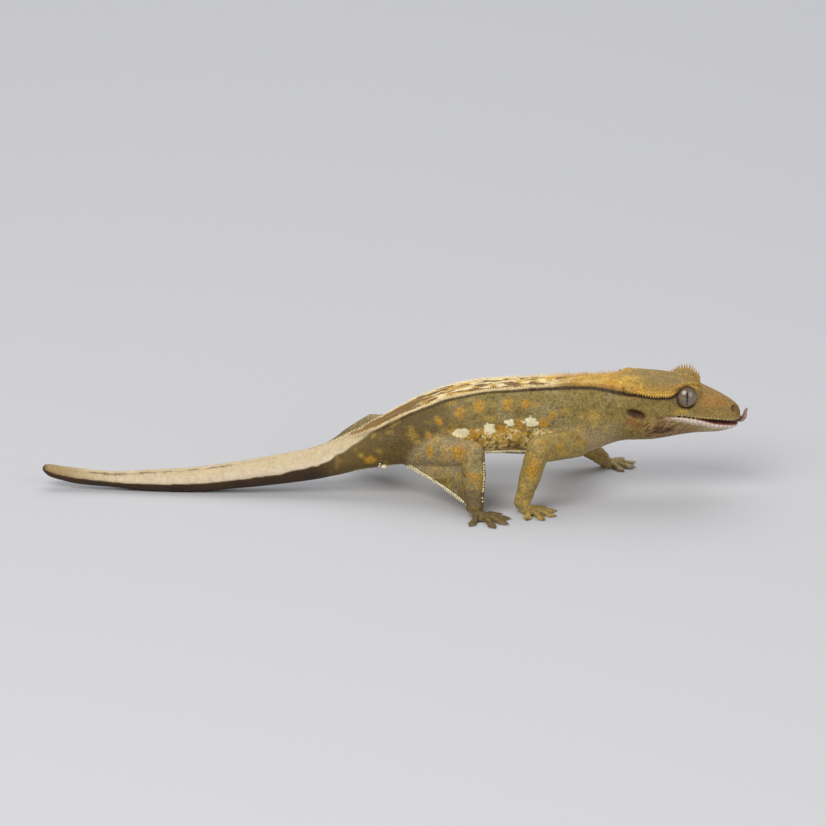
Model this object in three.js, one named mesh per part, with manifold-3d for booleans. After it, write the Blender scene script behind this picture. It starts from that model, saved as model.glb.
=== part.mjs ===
// A crested gecko in mid stride, as a life-size still model.
// Millimetres, +Z up, +X towards the snout and +Y to the animal's left. The floor is Z = 0.
import * as THREE from 'three';
import Module from 'manifold-3d';

const wasm = await Module();
wasm.setup();

// Driving dimensions
const GAP = 0.3;                 // left between nodes that meet
const SPINE_SIDES = 4;
// Points around each kind of form
const FACETS = {
  head: 24, eye: 18, swelling: 12, pit: 10, flap: 6, tongue: 10, limb: 12, palm: 10, wrist: 8, toe: 6,
};
const SPINES_START = -12;        // the crest rows begin here
const ORIGIN_X = 0.55;           // the middle of the bounding box, in the table's x
const ORIGIN_Y = 2.7;
const EYE_RADIUS = 3.45;
const EYE_CENTRE = [84.05, 5.35, 30.9];
const EAR = { centre: [69.4, 8.9, 26.3], radii: [2.5, 1.5, 1.0], lean: 0.3 };
const NOSTRIL = { centre: [98.2, 2.5, 25.5], radii: [0.6, 0.8, 0.45], lean: 0.4 };
// Swellings of the head: over the eye, and where the head's crest ends
const BROW = { centre: [84.0, 4.4, 31.3], radii: [4.6, 3.3, 3.9] };
const CREST_CORNER = { centre: [68.3, 6.5, 32.9], radii: [2.6, 1.9, 1.7] };
const HEAD_ROLL = THREE.MathUtils.degToRad(4);   // the head leans to its right, about ROLL_HEIGHT
const ROLL_HEIGHT = 26;
const ROLL_FROM = 56;
const ROLL_TO = 66;
const LEVEL_BELOW = 10.5;        // what lies this low, as the hands do, doesn't lean
const LEANS_ABOVE = 12.3;

// Where the animal ends, and where its trunk is divided from the tail's tip to the back of the head
const TAIL_END = -101;
const SNOUT_END = 100;
const CUTS = { tip: -80, end: -52, middle: -26, vent: -4, loin: 20, chest: 43, neck: 59, head: 66 };

// The trunk's outline: x, top, widest level, bottom, half width, centre y, squareness
const TRUNK = [
  [-101.0, 6.6, 5.4, 4.3, 1.0, 3.2, 2.0],
  [-99.6, 6.8, 5.2, 3.3, 1.7, 3.05, 2.0],
  [-97.0, 6.5, 4.6, 2.5, 2.1, 2.7, 2.0],
  [-91.6, 6.0, 3.8, 1.4, 2.2, 2.0, 2.0],
  [-80.4, 5.4, 3.0, 0.7, 2.4, 0.8, 2.0],
  [-69.7, 6.2, 2.9, -0.2, 2.9, 0.0, 2.0],
  [-57.3, 7.1, 3.4, -0.2, 3.4, -0.6, 2.0],
  [-44.8, 8.9, 4.8, 1.1, 3.9, -1.0, 2.0],
  [-32.4, 11.1, 6.5, 2.4, 4.5, -0.8, 2.0],
  [-21.2, 13.4, 8.4, 3.9, 5.1, -0.4, 2.0],
  [-9.5, 18.1, 12.2, 6.6, 6.6, 0.0, 2.1],
  [-3.7, 21.3, 14.2, 7.6, 7.7, 0.0, 2.2],
  [5.7, 26.6, 17.4, 9.1, 9.4, 0.0, 2.3],
  [11.5, 29.0, 19.0, 10.2, 10.2, 0.0, 2.3],
  [18.1, 31.1, 20.2, 11.4, 10.8, 0.0, 2.3],
  [27.6, 32.5, 21.0, 12.2, 11.2, 0.0, 2.3],
  [37.0, 32.9, 21.2, 12.1, 10.9, 0.0, 2.3],
  [46.5, 33.4, 21.2, 11.4, 10.2, 0.0, 2.3],
  [54.8, 33.8, 22.0, 12.0, 8.9, 0.0, 2.3],
  [60.0, 34.6, 23.4, 13.6, 7.9, 0.0, 2.3],
  [64.0, 35.4, 24.6, 15.2, 7.7, 0.0, 2.4],
  [68.0, 36.2, 25.4, 16.1, 8.6, 0.0, 2.5],
  [73.2, 35.8, 25.8, 16.6, 9.5, 0.0, 2.6],
  [78.1, 35.3, 25.9, 17.2, 9.3, 0.0, 2.6],
  [83.2, 34.2, 25.6, 18.0, 8.2, 0.0, 2.6],
  [87.2, 32.5, 25.0, 18.3, 7.1, 0.0, 2.5],
  [90.7, 31.0, 24.3, 18.2, 6.0, 0.0, 2.4],
  [93.8, 29.5, 23.6, 18.3, 5.0, 0.0, 2.3],
  [96.7, 27.9, 23.1, 18.8, 3.9, 0.0, 2.2],
  [98.7, 26.3, 22.9, 19.7, 2.7, 0.0, 2.1],
  [99.6, 25.0, 22.8, 20.7, 1.6, 0.0, 2.0],
  [100.0, 23.6, 22.8, 22.0, 0.6, 0.0, 2.0],
];

// The two crest rows' distance from the midline: x, y
const ROW_SPREAD = [
  [-15, 1.3], [-12, 1.7], [-9.5, 2.6], [-3.7, 4.0], [0, 4.7], [5.7, 5.2], [11, 5.4], [18, 5.4], [28, 5.0],
  [37, 4.5], [46, 4.1], [54.8, 4.0], [60, 4.6], [64, 5.6], [68, 7.2],
];

// The brow and cheek flap: x, distance from the midline, z, how far its spines lift, spine length
const FLAP = [
  [87.8, 4.0, 32.1, 60, 0.7],
  [86.4, 5.5, 33.6, 66, 1.2],
  [84.3, 6.7, 34.6, 66, 1.4],
  [82.4, 7.7, 34.1, 58, 1.3],
  [81.2, 8.5, 32.9, 40, 1.0],
  [79.4, 9.0, 32.3, 14, 0.8],
  [76.5, 9.3, 32.4, 8, 0.8],
  [73.0, 9.2, 32.7, 8, 0.8],
  [69.0, 7.9, 33.0, 18, 1.0],
  [65.5, 6.2, 33.1, 28, 1.0],
];

// The side view of the open mouth and of the cut behind the jaw: x, z
const UPPER_LIP = [
  [104, 22.3], [99.5, 22.15], [96, 22.6], [92.4, 23.4], [88, 24.3], [85.2, 25.0], [82.4, 25.6],
  [79, 25.9], [77, 25.6], [74.5, 21.5], [72.3, 12],
];
const LOWER_LIP = [
  [72.7, 12], [74.9, 21.4], [77.3, 25.2], [79, 25.55], [82.4, 25.25], [85.2, 24.65], [88, 23.85],
  [92.4, 22.1], [96, 21.2], [98.8, 20.6], [104, 20.5],
];

// The tongue: x, z, half its width and half its thickness
const TONGUE = [
  [91.4, 23.05, 2.0, 0.22],
  [93.2, 22.55, 2.1, 0.28],
  [96, 21.9, 1.9, 0.36],
  [98.6, 21.45, 1.6, 0.45],
  [100.4, 21.6, 1.7, 0.6],
  [101.2, 22.5, 1.6, 0.62],
  [101.4, 23.6, 1.0, 0.5],
  [101.8, 24.7, 0.4, 0.32],
];

// Each limb: root, bend, end joint, the foot's heading in degrees, and its radii across and up
const FRONT_RADII = {
  root: [3.6, 4.6],
  upper: [3.4, 4.2],
  bend: [3.4, 3.8],
  lower: [3.1, 3.3],
  end: [2.3, 2.3],
};
const HIND_RADII = {
  root: [4.6, 5.8],
  upper: [4.0, 4.9],
  bend: [3.3, 3.7],
  lower: [3.3, 3.9],
  end: [2.5, 2.6],
};
const LIMBS = {
  front_right: {
    joints: [[53.3, -6.5, 16.9], [41.5, -18, 18.2], [37.0, -19.5, 3.0]],
    heading: -28,
    radii: FRONT_RADII,
  },
  front_left: {
    joints: [[53.3, 6.5, 16.9], [48.5, 19, 13.4], [61, 20.5, 3.0]],
    heading: 22,
    radii: FRONT_RADII,
  },
  hind_right: {
    joints: [[5, -4.5, 14.6], [23.0, -17, 16.6], [23.4, -24, 3.2]],
    heading: -42,
    radii: HIND_RADII,
    web: true,
  },
  hind_left: {
    joints: [[4.5, 4.5, 14.6], [-6, 22, 12.2], [-17.5, 28, 3.3]],
    heading: 96,
    radii: HIND_RADII,
  },
};
const SEGMENTS = {
  front: ['upper_arm', 'forearm', 'hand'],
  hind: ['thigh', 'shank', 'foot'],
};
// Toes from the inner to the outer: angle from the heading in degrees, length from the palm's middle
const FRONT_TOES = [[72, 6.2], [36, 7.4], [2, 7.9], [-32, 7.6], [-68, 6.4]];
const HIND_TOES = [[70, 6.4], [36, 8.0], [6, 9.0], [-24, 9.2], [-72, 7.2]];
const PALM = { radii: [2.5, 2.3, 1.5], reach: 2.2, height: 0.75 };
const WRIST = [[1.9, 1.9], [2.0, 1.6]];
// Along a toe: share of its length, height, radius across and up
const TOE = [
  [0.15, 0.75, 0.8, 0.8],
  [0.45, 0.85, 0.65, 0.7],
  [0.68, 0.55, 0.9, 0.6],
  [0.85, 0.42, 1.3, 0.5],
  [0.98, 0.38, 0.75, 0.4],
];
const CLAW = { share: 1.04, height: 0.45, droop: -0.12, length: 0.75, radius: 0.3 };
// The part of the trunk that the limbs are cut clear of: both ends, ring spacing, points around
const TRUNK_BY_LIMBS = [-20, 66, 3, 24];
// The edge of the skin behind a bent knee, in shares of the thigh and shank and in millimetres
const WEB = { start: [1.06, 4.8], turn: [0.45, 0.8], heel: 3.2, low: 0.97, toe: 0.5, halfThick: 0.8 };

const finish = (color, roughness) => new THREE.MeshStandardMaterial({ color, roughness, metalness: 0 });
const SKIN = finish(0x8d8660, 0.7);
const BELLY_PALE = finish(0xd9cba0, 0.7);
const EYE = finish(0x8c8280, 0.15);
const TONGUE_FLESH = finish(0xa8645a, 0.45);

const vector = (p) => new THREE.Vector3(...p);
const clamp01 = (v) => Math.min(1, Math.max(0, v));
const smoothstep = (from, to, v) => {
  const t = clamp01((v - from) / (to - from));
  return t * t * (3 - 2 * t);
};

// A smooth curve through a table's rows, read at x, as a list of the other columns.
function readTable(table, x) {
  const rows = table[0][0] < table[table.length - 1][0] ? table : [...table].reverse();
  const last = rows.length - 1;
  let i = 0;
  while (i < last - 1 && x > rows[i + 1][0]) i += 1;
  const [a, b] = [rows[i], rows[i + 1]];
  const before = rows[Math.max(i - 1, 0)];
  const after = rows[Math.min(i + 2, last)];
  const span = b[0] - a[0];
  const t = clamp01((x - a[0]) / span);
  return a.slice(1).map((_, column) => {
    const c = column + 1;
    const leaving = (b[c] - before[c]) / (b[0] - before[0]) * span;
    const arriving = (after[c] - a[c]) / (after[0] - a[0]) * span;
    const rise = b[c] - a[c];
    const bend = 3 * rise - 2 * leaving - arriving;
    const twist = leaving + arriving - 2 * rise;
    return a[c] + t * (leaving + t * (bend + t * twist));
  });
}

// A point on the trunk at x, at an angle counted from the animal's left side upwards.
function trunkPoint(x, angle, grow = 0) {
  const [top, middle, bottom, half, centre, square] = readTable(TRUNK, x);
  const bulge = (v) => Math.sign(v) * Math.abs(v) ** (2 / square);
  const across = bulge(Math.cos(angle));
  const up = bulge(Math.sin(angle));
  const reach = up > 0 ? top - middle + grow : middle - bottom + grow;
  return new THREE.Vector3(x, centre + (half + grow) * across, middle + reach * up);
}

// The trunk's top surface at x, at a signed distance y from its centre line.
function trunkTop(x, y) {
  const [top, middle, , half, centre, square] = readTable(TRUNK, x);
  const share = clamp01(1 - Math.min(Math.abs(y) / half, 1) ** square) ** (1 / square);
  return new THREE.Vector3(x, centre + y, middle + (top - middle) * share);
}

// A closed geometry over rings of points, with a flat fan at each end.
function geometryFromRings(rings) {
  const around = rings[0].length;
  const middleOf = (ring) => ring.reduce((sum, p) => sum.add(p), new THREE.Vector3()).divideScalar(around);
  const points = [...rings.flat(), middleOf(rings[0]), middleOf(rings[rings.length - 1])];
  const first = rings.length * around;
  const index = [];
  for (let j = 0; j < around; j += 1) {
    const k = (j + 1) % around;
    for (let i = 0; i < rings.length - 1; i += 1) {
      const [a, b, c, d] = [i * around + j, i * around + k, (i + 1) * around + k, (i + 1) * around + j];
      index.push(a, b, c, a, c, d);
    }
    const end = (rings.length - 1) * around;
    index.push(first, k, j, first + 1, end + j, end + k);
  }
  const geometry = new THREE.BufferGeometry();
  geometry.setAttribute('position', new THREE.Float32BufferAttribute(points.flatMap((p) => p.toArray()), 3));
  geometry.setIndex(index);
  return geometry;
}

// A closed solid from a geometry, turned the right way out.
function solid(geometry) {
  const vertProperties = new Float32Array(geometry.attributes.position.array);
  const triVerts = new Uint32Array(geometry.index.array);
  const made = new wasm.Manifold(new wasm.Mesh({ numProp: 3, vertProperties, triVerts }));
  if (made.volume() > 0) return made;
  for (let i = 0; i < triVerts.length; i += 3) {
    [triVerts[i], triVerts[i + 1]] = [triVerts[i + 1], triVerts[i]];
  }
  return new wasm.Manifold(new wasm.Mesh({ numProp: 3, vertProperties, triVerts }));
}

const union = (solids) => wasm.Manifold.union(solids);

// The largest closed body of a solid.
function largest(body) {
  return body.decompose().reduce((best, piece) => (piece.volume() > best.volume() ? piece : best));
}

// The trunk between two cuts, finer where it is asked to be.
function trunkSolid(from, to, step, around, grow = 0) {
  const count = Math.max(2, Math.round((to - from) / step));
  const rings = [];
  for (let i = 0; i <= count; i += 1) {
    const x = from + (to - from) * i / count;
    rings.push(Array.from({ length: around }, (_, j) => trunkPoint(x, 2 * Math.PI * j / around, grow)));
  }
  return solid(geometryFromRings(rings));
}

// A round-ended tube along points, with radii across and up at each point.
function tube(points, radii, up, around, along, leans = [0.6, 1.25]) {
  const curve = new THREE.CatmullRomCurve3(points, false, 'centripetal');
  const ring = (centre, forward, [across, rise]) => {
    const side = new THREE.Vector3().crossVectors(up, forward).normalize();
    const lift = new THREE.Vector3().crossVectors(forward, side);
    return Array.from({ length: around }, (_, j) => {
      const angle = 2 * Math.PI * j / around;
      const point = centre.clone().addScaledVector(side, across * Math.cos(angle));
      return point.addScaledVector(lift, rise * Math.sin(angle));
    });
  };
  const radiiAt = (t) => {
    const at = t * (radii.length - 1);
    const i = Math.min(Math.floor(at), radii.length - 2);
    const share = smoothstep(0, 1, at - i);
    return [0, 1].map((k) => radii[i][k] + (radii[i + 1][k] - radii[i][k]) * share);
  };
  const capRing = (t, way, lean) => {
    const size = radiiAt(t);
    const forward = curve.getTangent(t);
    const centre = curve.getPoint(t).addScaledVector(forward, way * Math.min(...size) * Math.sin(lean));
    return ring(centre, forward, size.map((r) => r * Math.cos(lean)));
  };
  const rings = [...leans].reverse().map((lean) => capRing(0, -1, lean));
  for (let i = 0; i <= along; i += 1) {
    const t = i / along;
    rings.push(ring(curve.getPoint(t), curve.getTangent(t), radiiAt(t)));
  }
  rings.push(...leans.map((lean) => capRing(1, 1, lean)));
  return solid(geometryFromRings(rings));
}

// An ellipsoid about a centre.
function ball(centre, radii, around = 16, turn = 0) {
  const rows = Math.max(4, Math.round(around / 2));
  const rings = [];
  for (let i = 1; i < rows; i += 1) {
    const lean = Math.PI * i / rows;
    rings.push(Array.from({ length: around }, (_, j) => {
      const angle = 2 * Math.PI * j / around;
      return new THREE.Vector3(
        radii[0] * Math.sin(lean) * Math.cos(angle),
        radii[1] * Math.cos(lean),
        radii[2] * Math.sin(lean) * Math.sin(angle),
      ).applyAxisAngle(new THREE.Vector3(0, 1, 0), turn).add(vector(centre));
    }));
  }
  const poles = [1, -1].map((way) => vector(centre).add(new THREE.Vector3(0, way * radii[1], 0)));
  const geometry = geometryFromRings(rings);
  const position = geometry.attributes.position;
  poles.forEach((pole, i) => position.setXYZ(position.count - 2 + i, ...pole.toArray()));
  return solid(geometry);
}

// One tapered spine, its root sunk in what carries it.
function spine(root, direction, length, radius = 0.42) {
  const SUNK = 0.75;
  const height = length + SUNK;
  const cone = new THREE.ConeGeometry(radius, height, SPINE_SIDES).toNonIndexed();
  const turn = new THREE.Quaternion().setFromUnitVectors(new THREE.Vector3(0, 1, 0), direction);
  cone.applyQuaternion(turn);
  const centre = root.clone().addScaledVector(direction, height / 2 - SUNK);
  cone.translate(...centre.toArray());
  return solid(weld(cone));
}

// Joins a geometry's vertices that lie in one place.
function weld(geometry) {
  const seen = new Map();
  const points = [];
  const index = [];
  const position = geometry.attributes.position;
  for (let i = 0; i < position.count; i += 1) {
    const p = [position.getX(i), position.getY(i), position.getZ(i)];
    const key = p.map((v) => Math.round(v * 1e4)).join();
    if (!seen.has(key)) seen.set(key, points.push(p) - 1);
    index.push(seen.get(key));
  }
  const triangles = [];
  for (let i = 0; i < index.length; i += 3) {
    const corner = index.slice(i, i + 3);
    if (new Set(corner).size === 3) triangles.push(...corner);
  }
  const welded = new THREE.BufferGeometry();
  welded.setAttribute('position', new THREE.Float32BufferAttribute(points.flat(), 3));
  welded.setIndex(triangles);
  return welded;
}

// The spines of one crest row on the trunk, between two cuts.
function rowSpines(from, to, side) {
  const SPACING = 2.3;
  const MARGIN = 0.6;
  const LIFT = THREE.MathUtils.degToRad(48);
  const SHORTEST = 0.35;
  const GROWTH = 0.45;
  const RANDOM = 0.12;
  const spines = [];
  const count = Math.floor((to - from - 2 * MARGIN) / SPACING);
  for (let i = 0; i <= count; i += 1) {
    const x = from + (to - from) / 2 + (i - count / 2) * SPACING;
    const [spread] = readTable(ROW_SPREAD, x);
    const length = SHORTEST + GROWTH * smoothstep(SPINES_START, CUTS.neck, x) + RANDOM * Math.sin(2.7 * x);
    const direction = new THREE.Vector3(0, side * Math.cos(LIFT), Math.sin(LIFT));
    spines.push(spine(trunkTop(x, side * spread), direction, length));
  }
  return spines;
}

// The flap over one eye and cheek, with its spines.
function browFlap(side) {
  const ACROSS = 1.15;
  const THICK = 0.55;
  const ROOT_INSET = 0.55;
  const SPACING = 1.55;
  const rows = FLAP.map(([x, y, z]) => new THREE.Vector3(x, side * (y - ROOT_INSET), z - 0.1));
  const radii = FLAP.map(([, , , , length]) => [ACROSS * Math.min(1, length), THICK]);
  const flap = tube(rows, radii, new THREE.Vector3(0, side * -0.35, 1), FACETS.flap, 16);
  const edge = new THREE.CatmullRomCurve3(FLAP.map(([x, y, z]) => new THREE.Vector3(x, side * y, z)));
  const count = Math.round(edge.getLength() / SPACING);
  const spines = [];
  for (let i = 1; i < count; i += 1) {
    const root = edge.getPointAt(i / count);
    const [, , lift, length] = readTable(FLAP, root.x);
    const angle = THREE.MathUtils.degToRad(lift);
    const forward = 0.55 * smoothstep(82, 88, root.x);
    const direction = new THREE.Vector3(forward, side * Math.cos(angle), Math.sin(angle)).normalize();
    spines.push(spine(root, direction, length));
  }
  return [flap, ...spines];
}

// A prism over a side view outline, right through the head.
function sideCutter(outline) {
  const shape = new THREE.Shape(outline.map(([x, z]) => new THREE.Vector2(x, z)));
  const WIDE = 30;
  const prism = new THREE.ExtrudeGeometry(shape, { depth: WIDE, bevelEnabled: false });
  prism.translate(0, 0, -WIDE / 2);
  prism.rotateX(Math.PI / 2);
  return solid(weld(prism.index ? prism.toNonIndexed() : prism));
}

// The head and the lower jaw, parted at the mouth.
function headAndJaw() {
  const skull = trunkSolid(CUTS.head + GAP / 2, SNOUT_END, 1.5, FACETS.head);
  const pieceList = [skull, ...browFlap(1), ...browFlap(-1)];
  for (const side of [1, -1]) {
    for (const { centre: [x, y, z], radii } of [BROW, CREST_CORNER]) {
      pieceList.push(ball([x, side * y, z], radii, FACETS.swelling));
    }
  }
  const whole = union(pieceList).trimByPlane([1, 0, 0], CUTS.head + GAP / 2);
  const cavities = [sideCutter([...UPPER_LIP, ...LOWER_LIP])];
  for (const side of [1, -1]) {
    const mirrored = ([x, y, z]) => [x, side * y, z];
    cavities.push(ball(mirrored(EYE_CENTRE), Array(3).fill(EYE_RADIUS + GAP), FACETS.eye));
    for (const { centre, radii, lean } of [EAR, NOSTRIL]) {
      cavities.push(ball(mirrored(centre), radii, FACETS.pit, lean));
    }
  }
  const pieces = whole.subtract(union(cavities)).decompose().sort((a, b) => b.volume() - a.volume());
  return { head: pieces[0], lower_jaw: pieces[1] };
}

// The tongue, lying in the mouth and curling up over the snout.
function tongue() {
  const route = TONGUE.map(([x, z]) => new THREE.Vector3(x, 0, z));
  const radii = TONGUE.map(([, , across, up]) => [across, up]);
  return tube(route, radii, new THREE.Vector3(-0.05, 0, 1), FACETS.tongue, 18);
}

// A hand or foot, flat on the floor, with padded toes and claws.
function footSolids(ankle, heading, toes, side) {
  const forward = THREE.MathUtils.degToRad(heading);
  const up = new THREE.Vector3(0, 0, 1);
  const ahead = new THREE.Vector3(Math.cos(forward), Math.sin(forward), 0);
  const middle = ankle.clone().addScaledVector(ahead, PALM.reach).setZ(PALM.height);
  const palm = ball(middle.toArray(), PALM.radii, FACETS.palm);
  const wrist = tube([ankle, middle.clone().lerp(ankle, 0.4)], WRIST, up, FACETS.wrist, 2, [0.9]);
  const pieces = [palm, wrist];
  for (const [angle, length] of toes) {
    const turn = forward + side * THREE.MathUtils.degToRad(angle);
    const along = new THREE.Vector3(Math.cos(turn), Math.sin(turn), 0);
    const at = (share, z) => middle.clone().addScaledVector(along, length * share).setZ(z);
    const route = TOE.map(([share, height]) => at(share, height));
    const radii = TOE.map(([, , across, rise]) => [across, rise]);
    pieces.push(tube(route, radii, up, FACETS.toe, 6, [0.95]));
    const way = along.clone().setZ(CLAW.droop).normalize();
    pieces.push(spine(at(CLAW.share, CLAW.height), way, CLAW.length, CLAW.radius));
  }
  return pieces;
}

// The skin that spans the fold behind a bent knee.
function kneeWeb(root, bend, end) {
  const back = root.clone().sub(bend).normalize();
  const down = end.clone().sub(bend);
  const normal = new THREE.Vector3().crossVectors(back, down).normalize();
  const across = new THREE.Vector3().crossVectors(normal, back);
  const reach = root.distanceTo(bend);
  const flat = new THREE.Vector2(down.dot(back), down.dot(across));
  const shape = new THREE.Shape();
  shape.moveTo(0, 0);
  shape.lineTo(reach * WEB.start[0], WEB.start[1]);
  shape.quadraticCurveTo(reach * WEB.turn[0], flat.y * WEB.turn[1], flat.x + WEB.heel, flat.y * WEB.low);
  shape.lineTo(flat.x - WEB.toe, flat.y * WEB.low);
  const depth = 2 * WEB.halfThick;
  const plate = new THREE.ExtrudeGeometry(shape, { depth, bevelEnabled: false, curveSegments: 6 });
  plate.translate(0, 0, -WEB.halfThick);
  plate.applyMatrix4(new THREE.Matrix4().makeBasis(back, across, normal).setPosition(bend));
  return solid(weld(plate.index ? plate.toNonIndexed() : plate));
}

// One limb in three nodes, cut at its middle joint and its wrist or ankle, and clear of the trunk.
function limbNodes(name, { joints, heading, radii, web }) {
  const [root, bend, end] = joints.map(vector);
  const side = Math.sign(root.y);
  const upperWay = bend.clone().sub(root).normalize();
  const lowerWay = end.clone().sub(bend).normalize();
  const up = new THREE.Vector3(0, 0, 1);
  const outward = new THREE.Vector3(0, side, 0.25);
  const isHind = name.startsWith('hind');
  const upper = tube(
    [root, root.clone().lerp(bend, 0.5), bend],
    [radii.root, radii.upper, radii.bend], up, FACETS.limb, 7,
  );
  const lower = tube(
    [bend, bend.clone().lerp(end, 0.45), end],
    [radii.bend, radii.lower, radii.end], outward, FACETS.limb, 6,
  );
  const pieces = [upper, lower, ...footSolids(end, heading, isHind ? HIND_TOES : FRONT_TOES, -side)];
  if (web) pieces.push(kneeWeb(root, bend, end));
  const limb = union(pieces).trimByPlane([0, 0, 1], 0);
  const parted = (body, point, way) => {
    const level = point.dot(way);
    return [
      body.trimByPlane(way.clone().negate().toArray(), -(level - GAP / 2)),
      body.trimByPlane(way.toArray(), level + GAP / 2),
    ];
  };
  const [above, below] = parted(limb, bend, upperWay.clone().add(lowerWay).normalize());
  const [shin, foot] = parted(below, end, lowerWay);
  const trunk = trunkSolid(...TRUNK_BY_LIMBS, GAP);
  const [region, which] = name.split('_');
  const [first, second, third] = SEGMENTS[region].map((segment) => `${segment}_${which}`);
  return { [first]: largest(above.subtract(trunk)), [second]: largest(shin), [third]: largest(foot) };
}

// Leans the head and neck with the animal's roll, and moves the origin to the middle of its footprint.
function place(geometry) {
  const position = geometry.attributes.position;
  for (let i = 0; i < position.count; i += 1) {
    const [x, y, z] = [position.getX(i), position.getY(i), position.getZ(i) - ROLL_HEIGHT];
    const share = smoothstep(ROLL_FROM, ROLL_TO, x) * smoothstep(LEVEL_BELOW, LEANS_ABOVE, position.getZ(i));
    const roll = HEAD_ROLL * share;
    position.setXYZ(
      i,
      x - ORIGIN_X,
      y * Math.cos(roll) - z * Math.sin(roll) - ORIGIN_Y,
      ROLL_HEIGHT + y * Math.sin(roll) + z * Math.cos(roll),
    );
  }
  return geometry;
}

function mesh(name, body, skin) {
  const { vertProperties, triVerts, numProp } = body.getMesh();
  const points = [];
  for (let i = 0; i < vertProperties.length; i += numProp) points.push(...vertProperties.slice(i, i + 3));
  const geometry = new THREE.BufferGeometry();
  geometry.setAttribute('position', new THREE.Float32BufferAttribute(points, 3));
  geometry.setIndex([...triVerts]);
  const made = new THREE.Mesh(place(geometry), skin);
  made.name = name;
  return made;
}

// The trunk's nodes: name, both cuts, ring spacing, points around, and whether it carries crest spines
const { tip, end, middle, vent, loin, chest, neck, head } = CUTS;
const TRUNK_NODES = [
  ['tail_tip', TAIL_END, tip, 1.9, 12, false],
  ['tail_end', tip, end, 3.5, 14, false],
  ['tail_middle', end, middle, 3.5, 16, false],
  ['tail_base', middle, vent, 2.8, 18, true],
  ['pelvis', vent, loin, 2.6, 24, true],
  ['torso', loin, chest, 2.8, 24, true],
  ['chest', chest, neck, 2.3, 24, true],
  ['neck', neck, head, 1.7, 24, true],
];
const gecko = new THREE.Group();
gecko.name = 'crested_gecko';

for (const [name, from, to, step, around, spiny] of TRUNK_NODES) {
  const start = name === 'tail_tip' ? from : from + GAP / 2;
  const pieces = [trunkSolid(start, to - GAP / 2, step, around)];
  if (spiny) {
    for (const side of [1, -1]) pieces.push(...rowSpines(Math.max(from, SPINES_START), to, side));
  }
  gecko.add(mesh(name, largest(union(pieces).trimByPlane([0, 0, 1], 0)), SKIN));
}

const { head: skull, lower_jaw: jaw } = headAndJaw();
gecko.add(mesh('head', skull, SKIN));
gecko.add(mesh('lower_jaw', jaw, BELLY_PALE));
gecko.add(mesh('tongue', tongue(), TONGUE_FLESH));
for (const [name, side] of [['eye_left', 1], ['eye_right', -1]]) {
  const [x, y, z] = EYE_CENTRE;
  gecko.add(mesh(name, ball([x, side * y, z], Array(3).fill(EYE_RADIUS), FACETS.eye), EYE));
}

for (const [name, limb] of Object.entries(LIMBS)) {
  for (const [segment, body] of Object.entries(limbNodes(name, limb))) gecko.add(mesh(segment, body, SKIN));
}

export default gecko;
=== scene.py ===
"""A crested gecko in mid stride: one continuous skin with its crests, scales, eyes and tongue.

The animal is laid out in millimetres, +X towards the snout and +Y to its left, on the floor Z = 0.
world() leans the head, moves the origin to the middle of the footprint and turns millimetres to metres.
"""

import math
from collections import namedtuple

import bmesh
import bpy
import numpy as np
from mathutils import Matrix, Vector
from mathutils.bvhtree import BVHTree

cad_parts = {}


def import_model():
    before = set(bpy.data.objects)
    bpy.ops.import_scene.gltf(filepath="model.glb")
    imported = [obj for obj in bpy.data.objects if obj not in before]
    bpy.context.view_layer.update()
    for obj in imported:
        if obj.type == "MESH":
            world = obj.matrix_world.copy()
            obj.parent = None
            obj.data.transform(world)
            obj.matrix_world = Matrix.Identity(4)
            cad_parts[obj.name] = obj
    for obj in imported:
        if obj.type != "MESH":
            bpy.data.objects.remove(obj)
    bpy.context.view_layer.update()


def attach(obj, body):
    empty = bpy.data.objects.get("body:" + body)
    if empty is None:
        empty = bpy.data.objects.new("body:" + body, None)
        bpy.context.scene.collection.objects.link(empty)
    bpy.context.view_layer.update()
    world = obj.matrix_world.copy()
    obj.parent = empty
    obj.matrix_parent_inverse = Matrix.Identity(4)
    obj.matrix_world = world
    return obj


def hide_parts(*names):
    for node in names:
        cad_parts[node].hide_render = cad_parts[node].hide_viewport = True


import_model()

# Driving dimensions
MM = 0.001
VOXEL = 0.3
SEED = 7
ORIGIN = (0.55, 2.7)
UP = np.array([0, 0, 1.0])
HEAD_ROLL = math.radians(4)
ROLL_HEIGHT = 26
ROLL_FROM, ROLL_TO = 56, 66
LEVEL_BELOW, LEANS_ABOVE = 10.5, 12.3   # what lies this low, as the hands do, does not lean
TRUNK_SPAN = (-101.4, 76)   # the trunk's form in the skin; the head's own form runs on from it
HEAD_SPAN = (70, 98)
SNOUT_SPAN = (98.15, 100)
EYE_RADIUS = 3.45
EYE_CENTRE = np.array([84.05, 5.35, 30.9])
EYE_OPENING = (2.6, 3.3)
EYE_TURN = math.radians(2)
EYE_FIT = 0.99         # the ball is this share of its radius, so that it clears the rim
RIM_PROUD = 0.16       # the rim of the skin stands this far off the ball
RIM_DEPTH = 0.75       # the skin behind the ball lies this far behind the rim
RIM_DRAW = 1.75        # the skin is drawn in out to this many openings from the centre
EAR_CENTRE = np.array([69.4, 8.9, 26.4])
NOSTRIL_CENTRE = np.array([98.3, 2.5, 25.8])
# Pits in the skin: centre, reach along, over and in, tilt, depth
EAR_PIT = (EAR_CENTRE, (2.6, 1.2, 3.0), -0.25, 1.9)
NOSTRIL_PIT = (NOSTRIL_CENTRE, (0.85, 0.62, 1.4), -0.4, 1.2)
BROW = ((84.0, 4.4, 31.3), (4.6, 3.3, 3.9))
CREST_CORNER = ((68.3, 6.5, 32.9), (2.6, 1.9, 1.7))
VENT = (-2.6, 9.2)   # where the largest spur of each side sits: x, z
TAIL_RING = 0.85     # the length of one ring of scales on the tail

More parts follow.
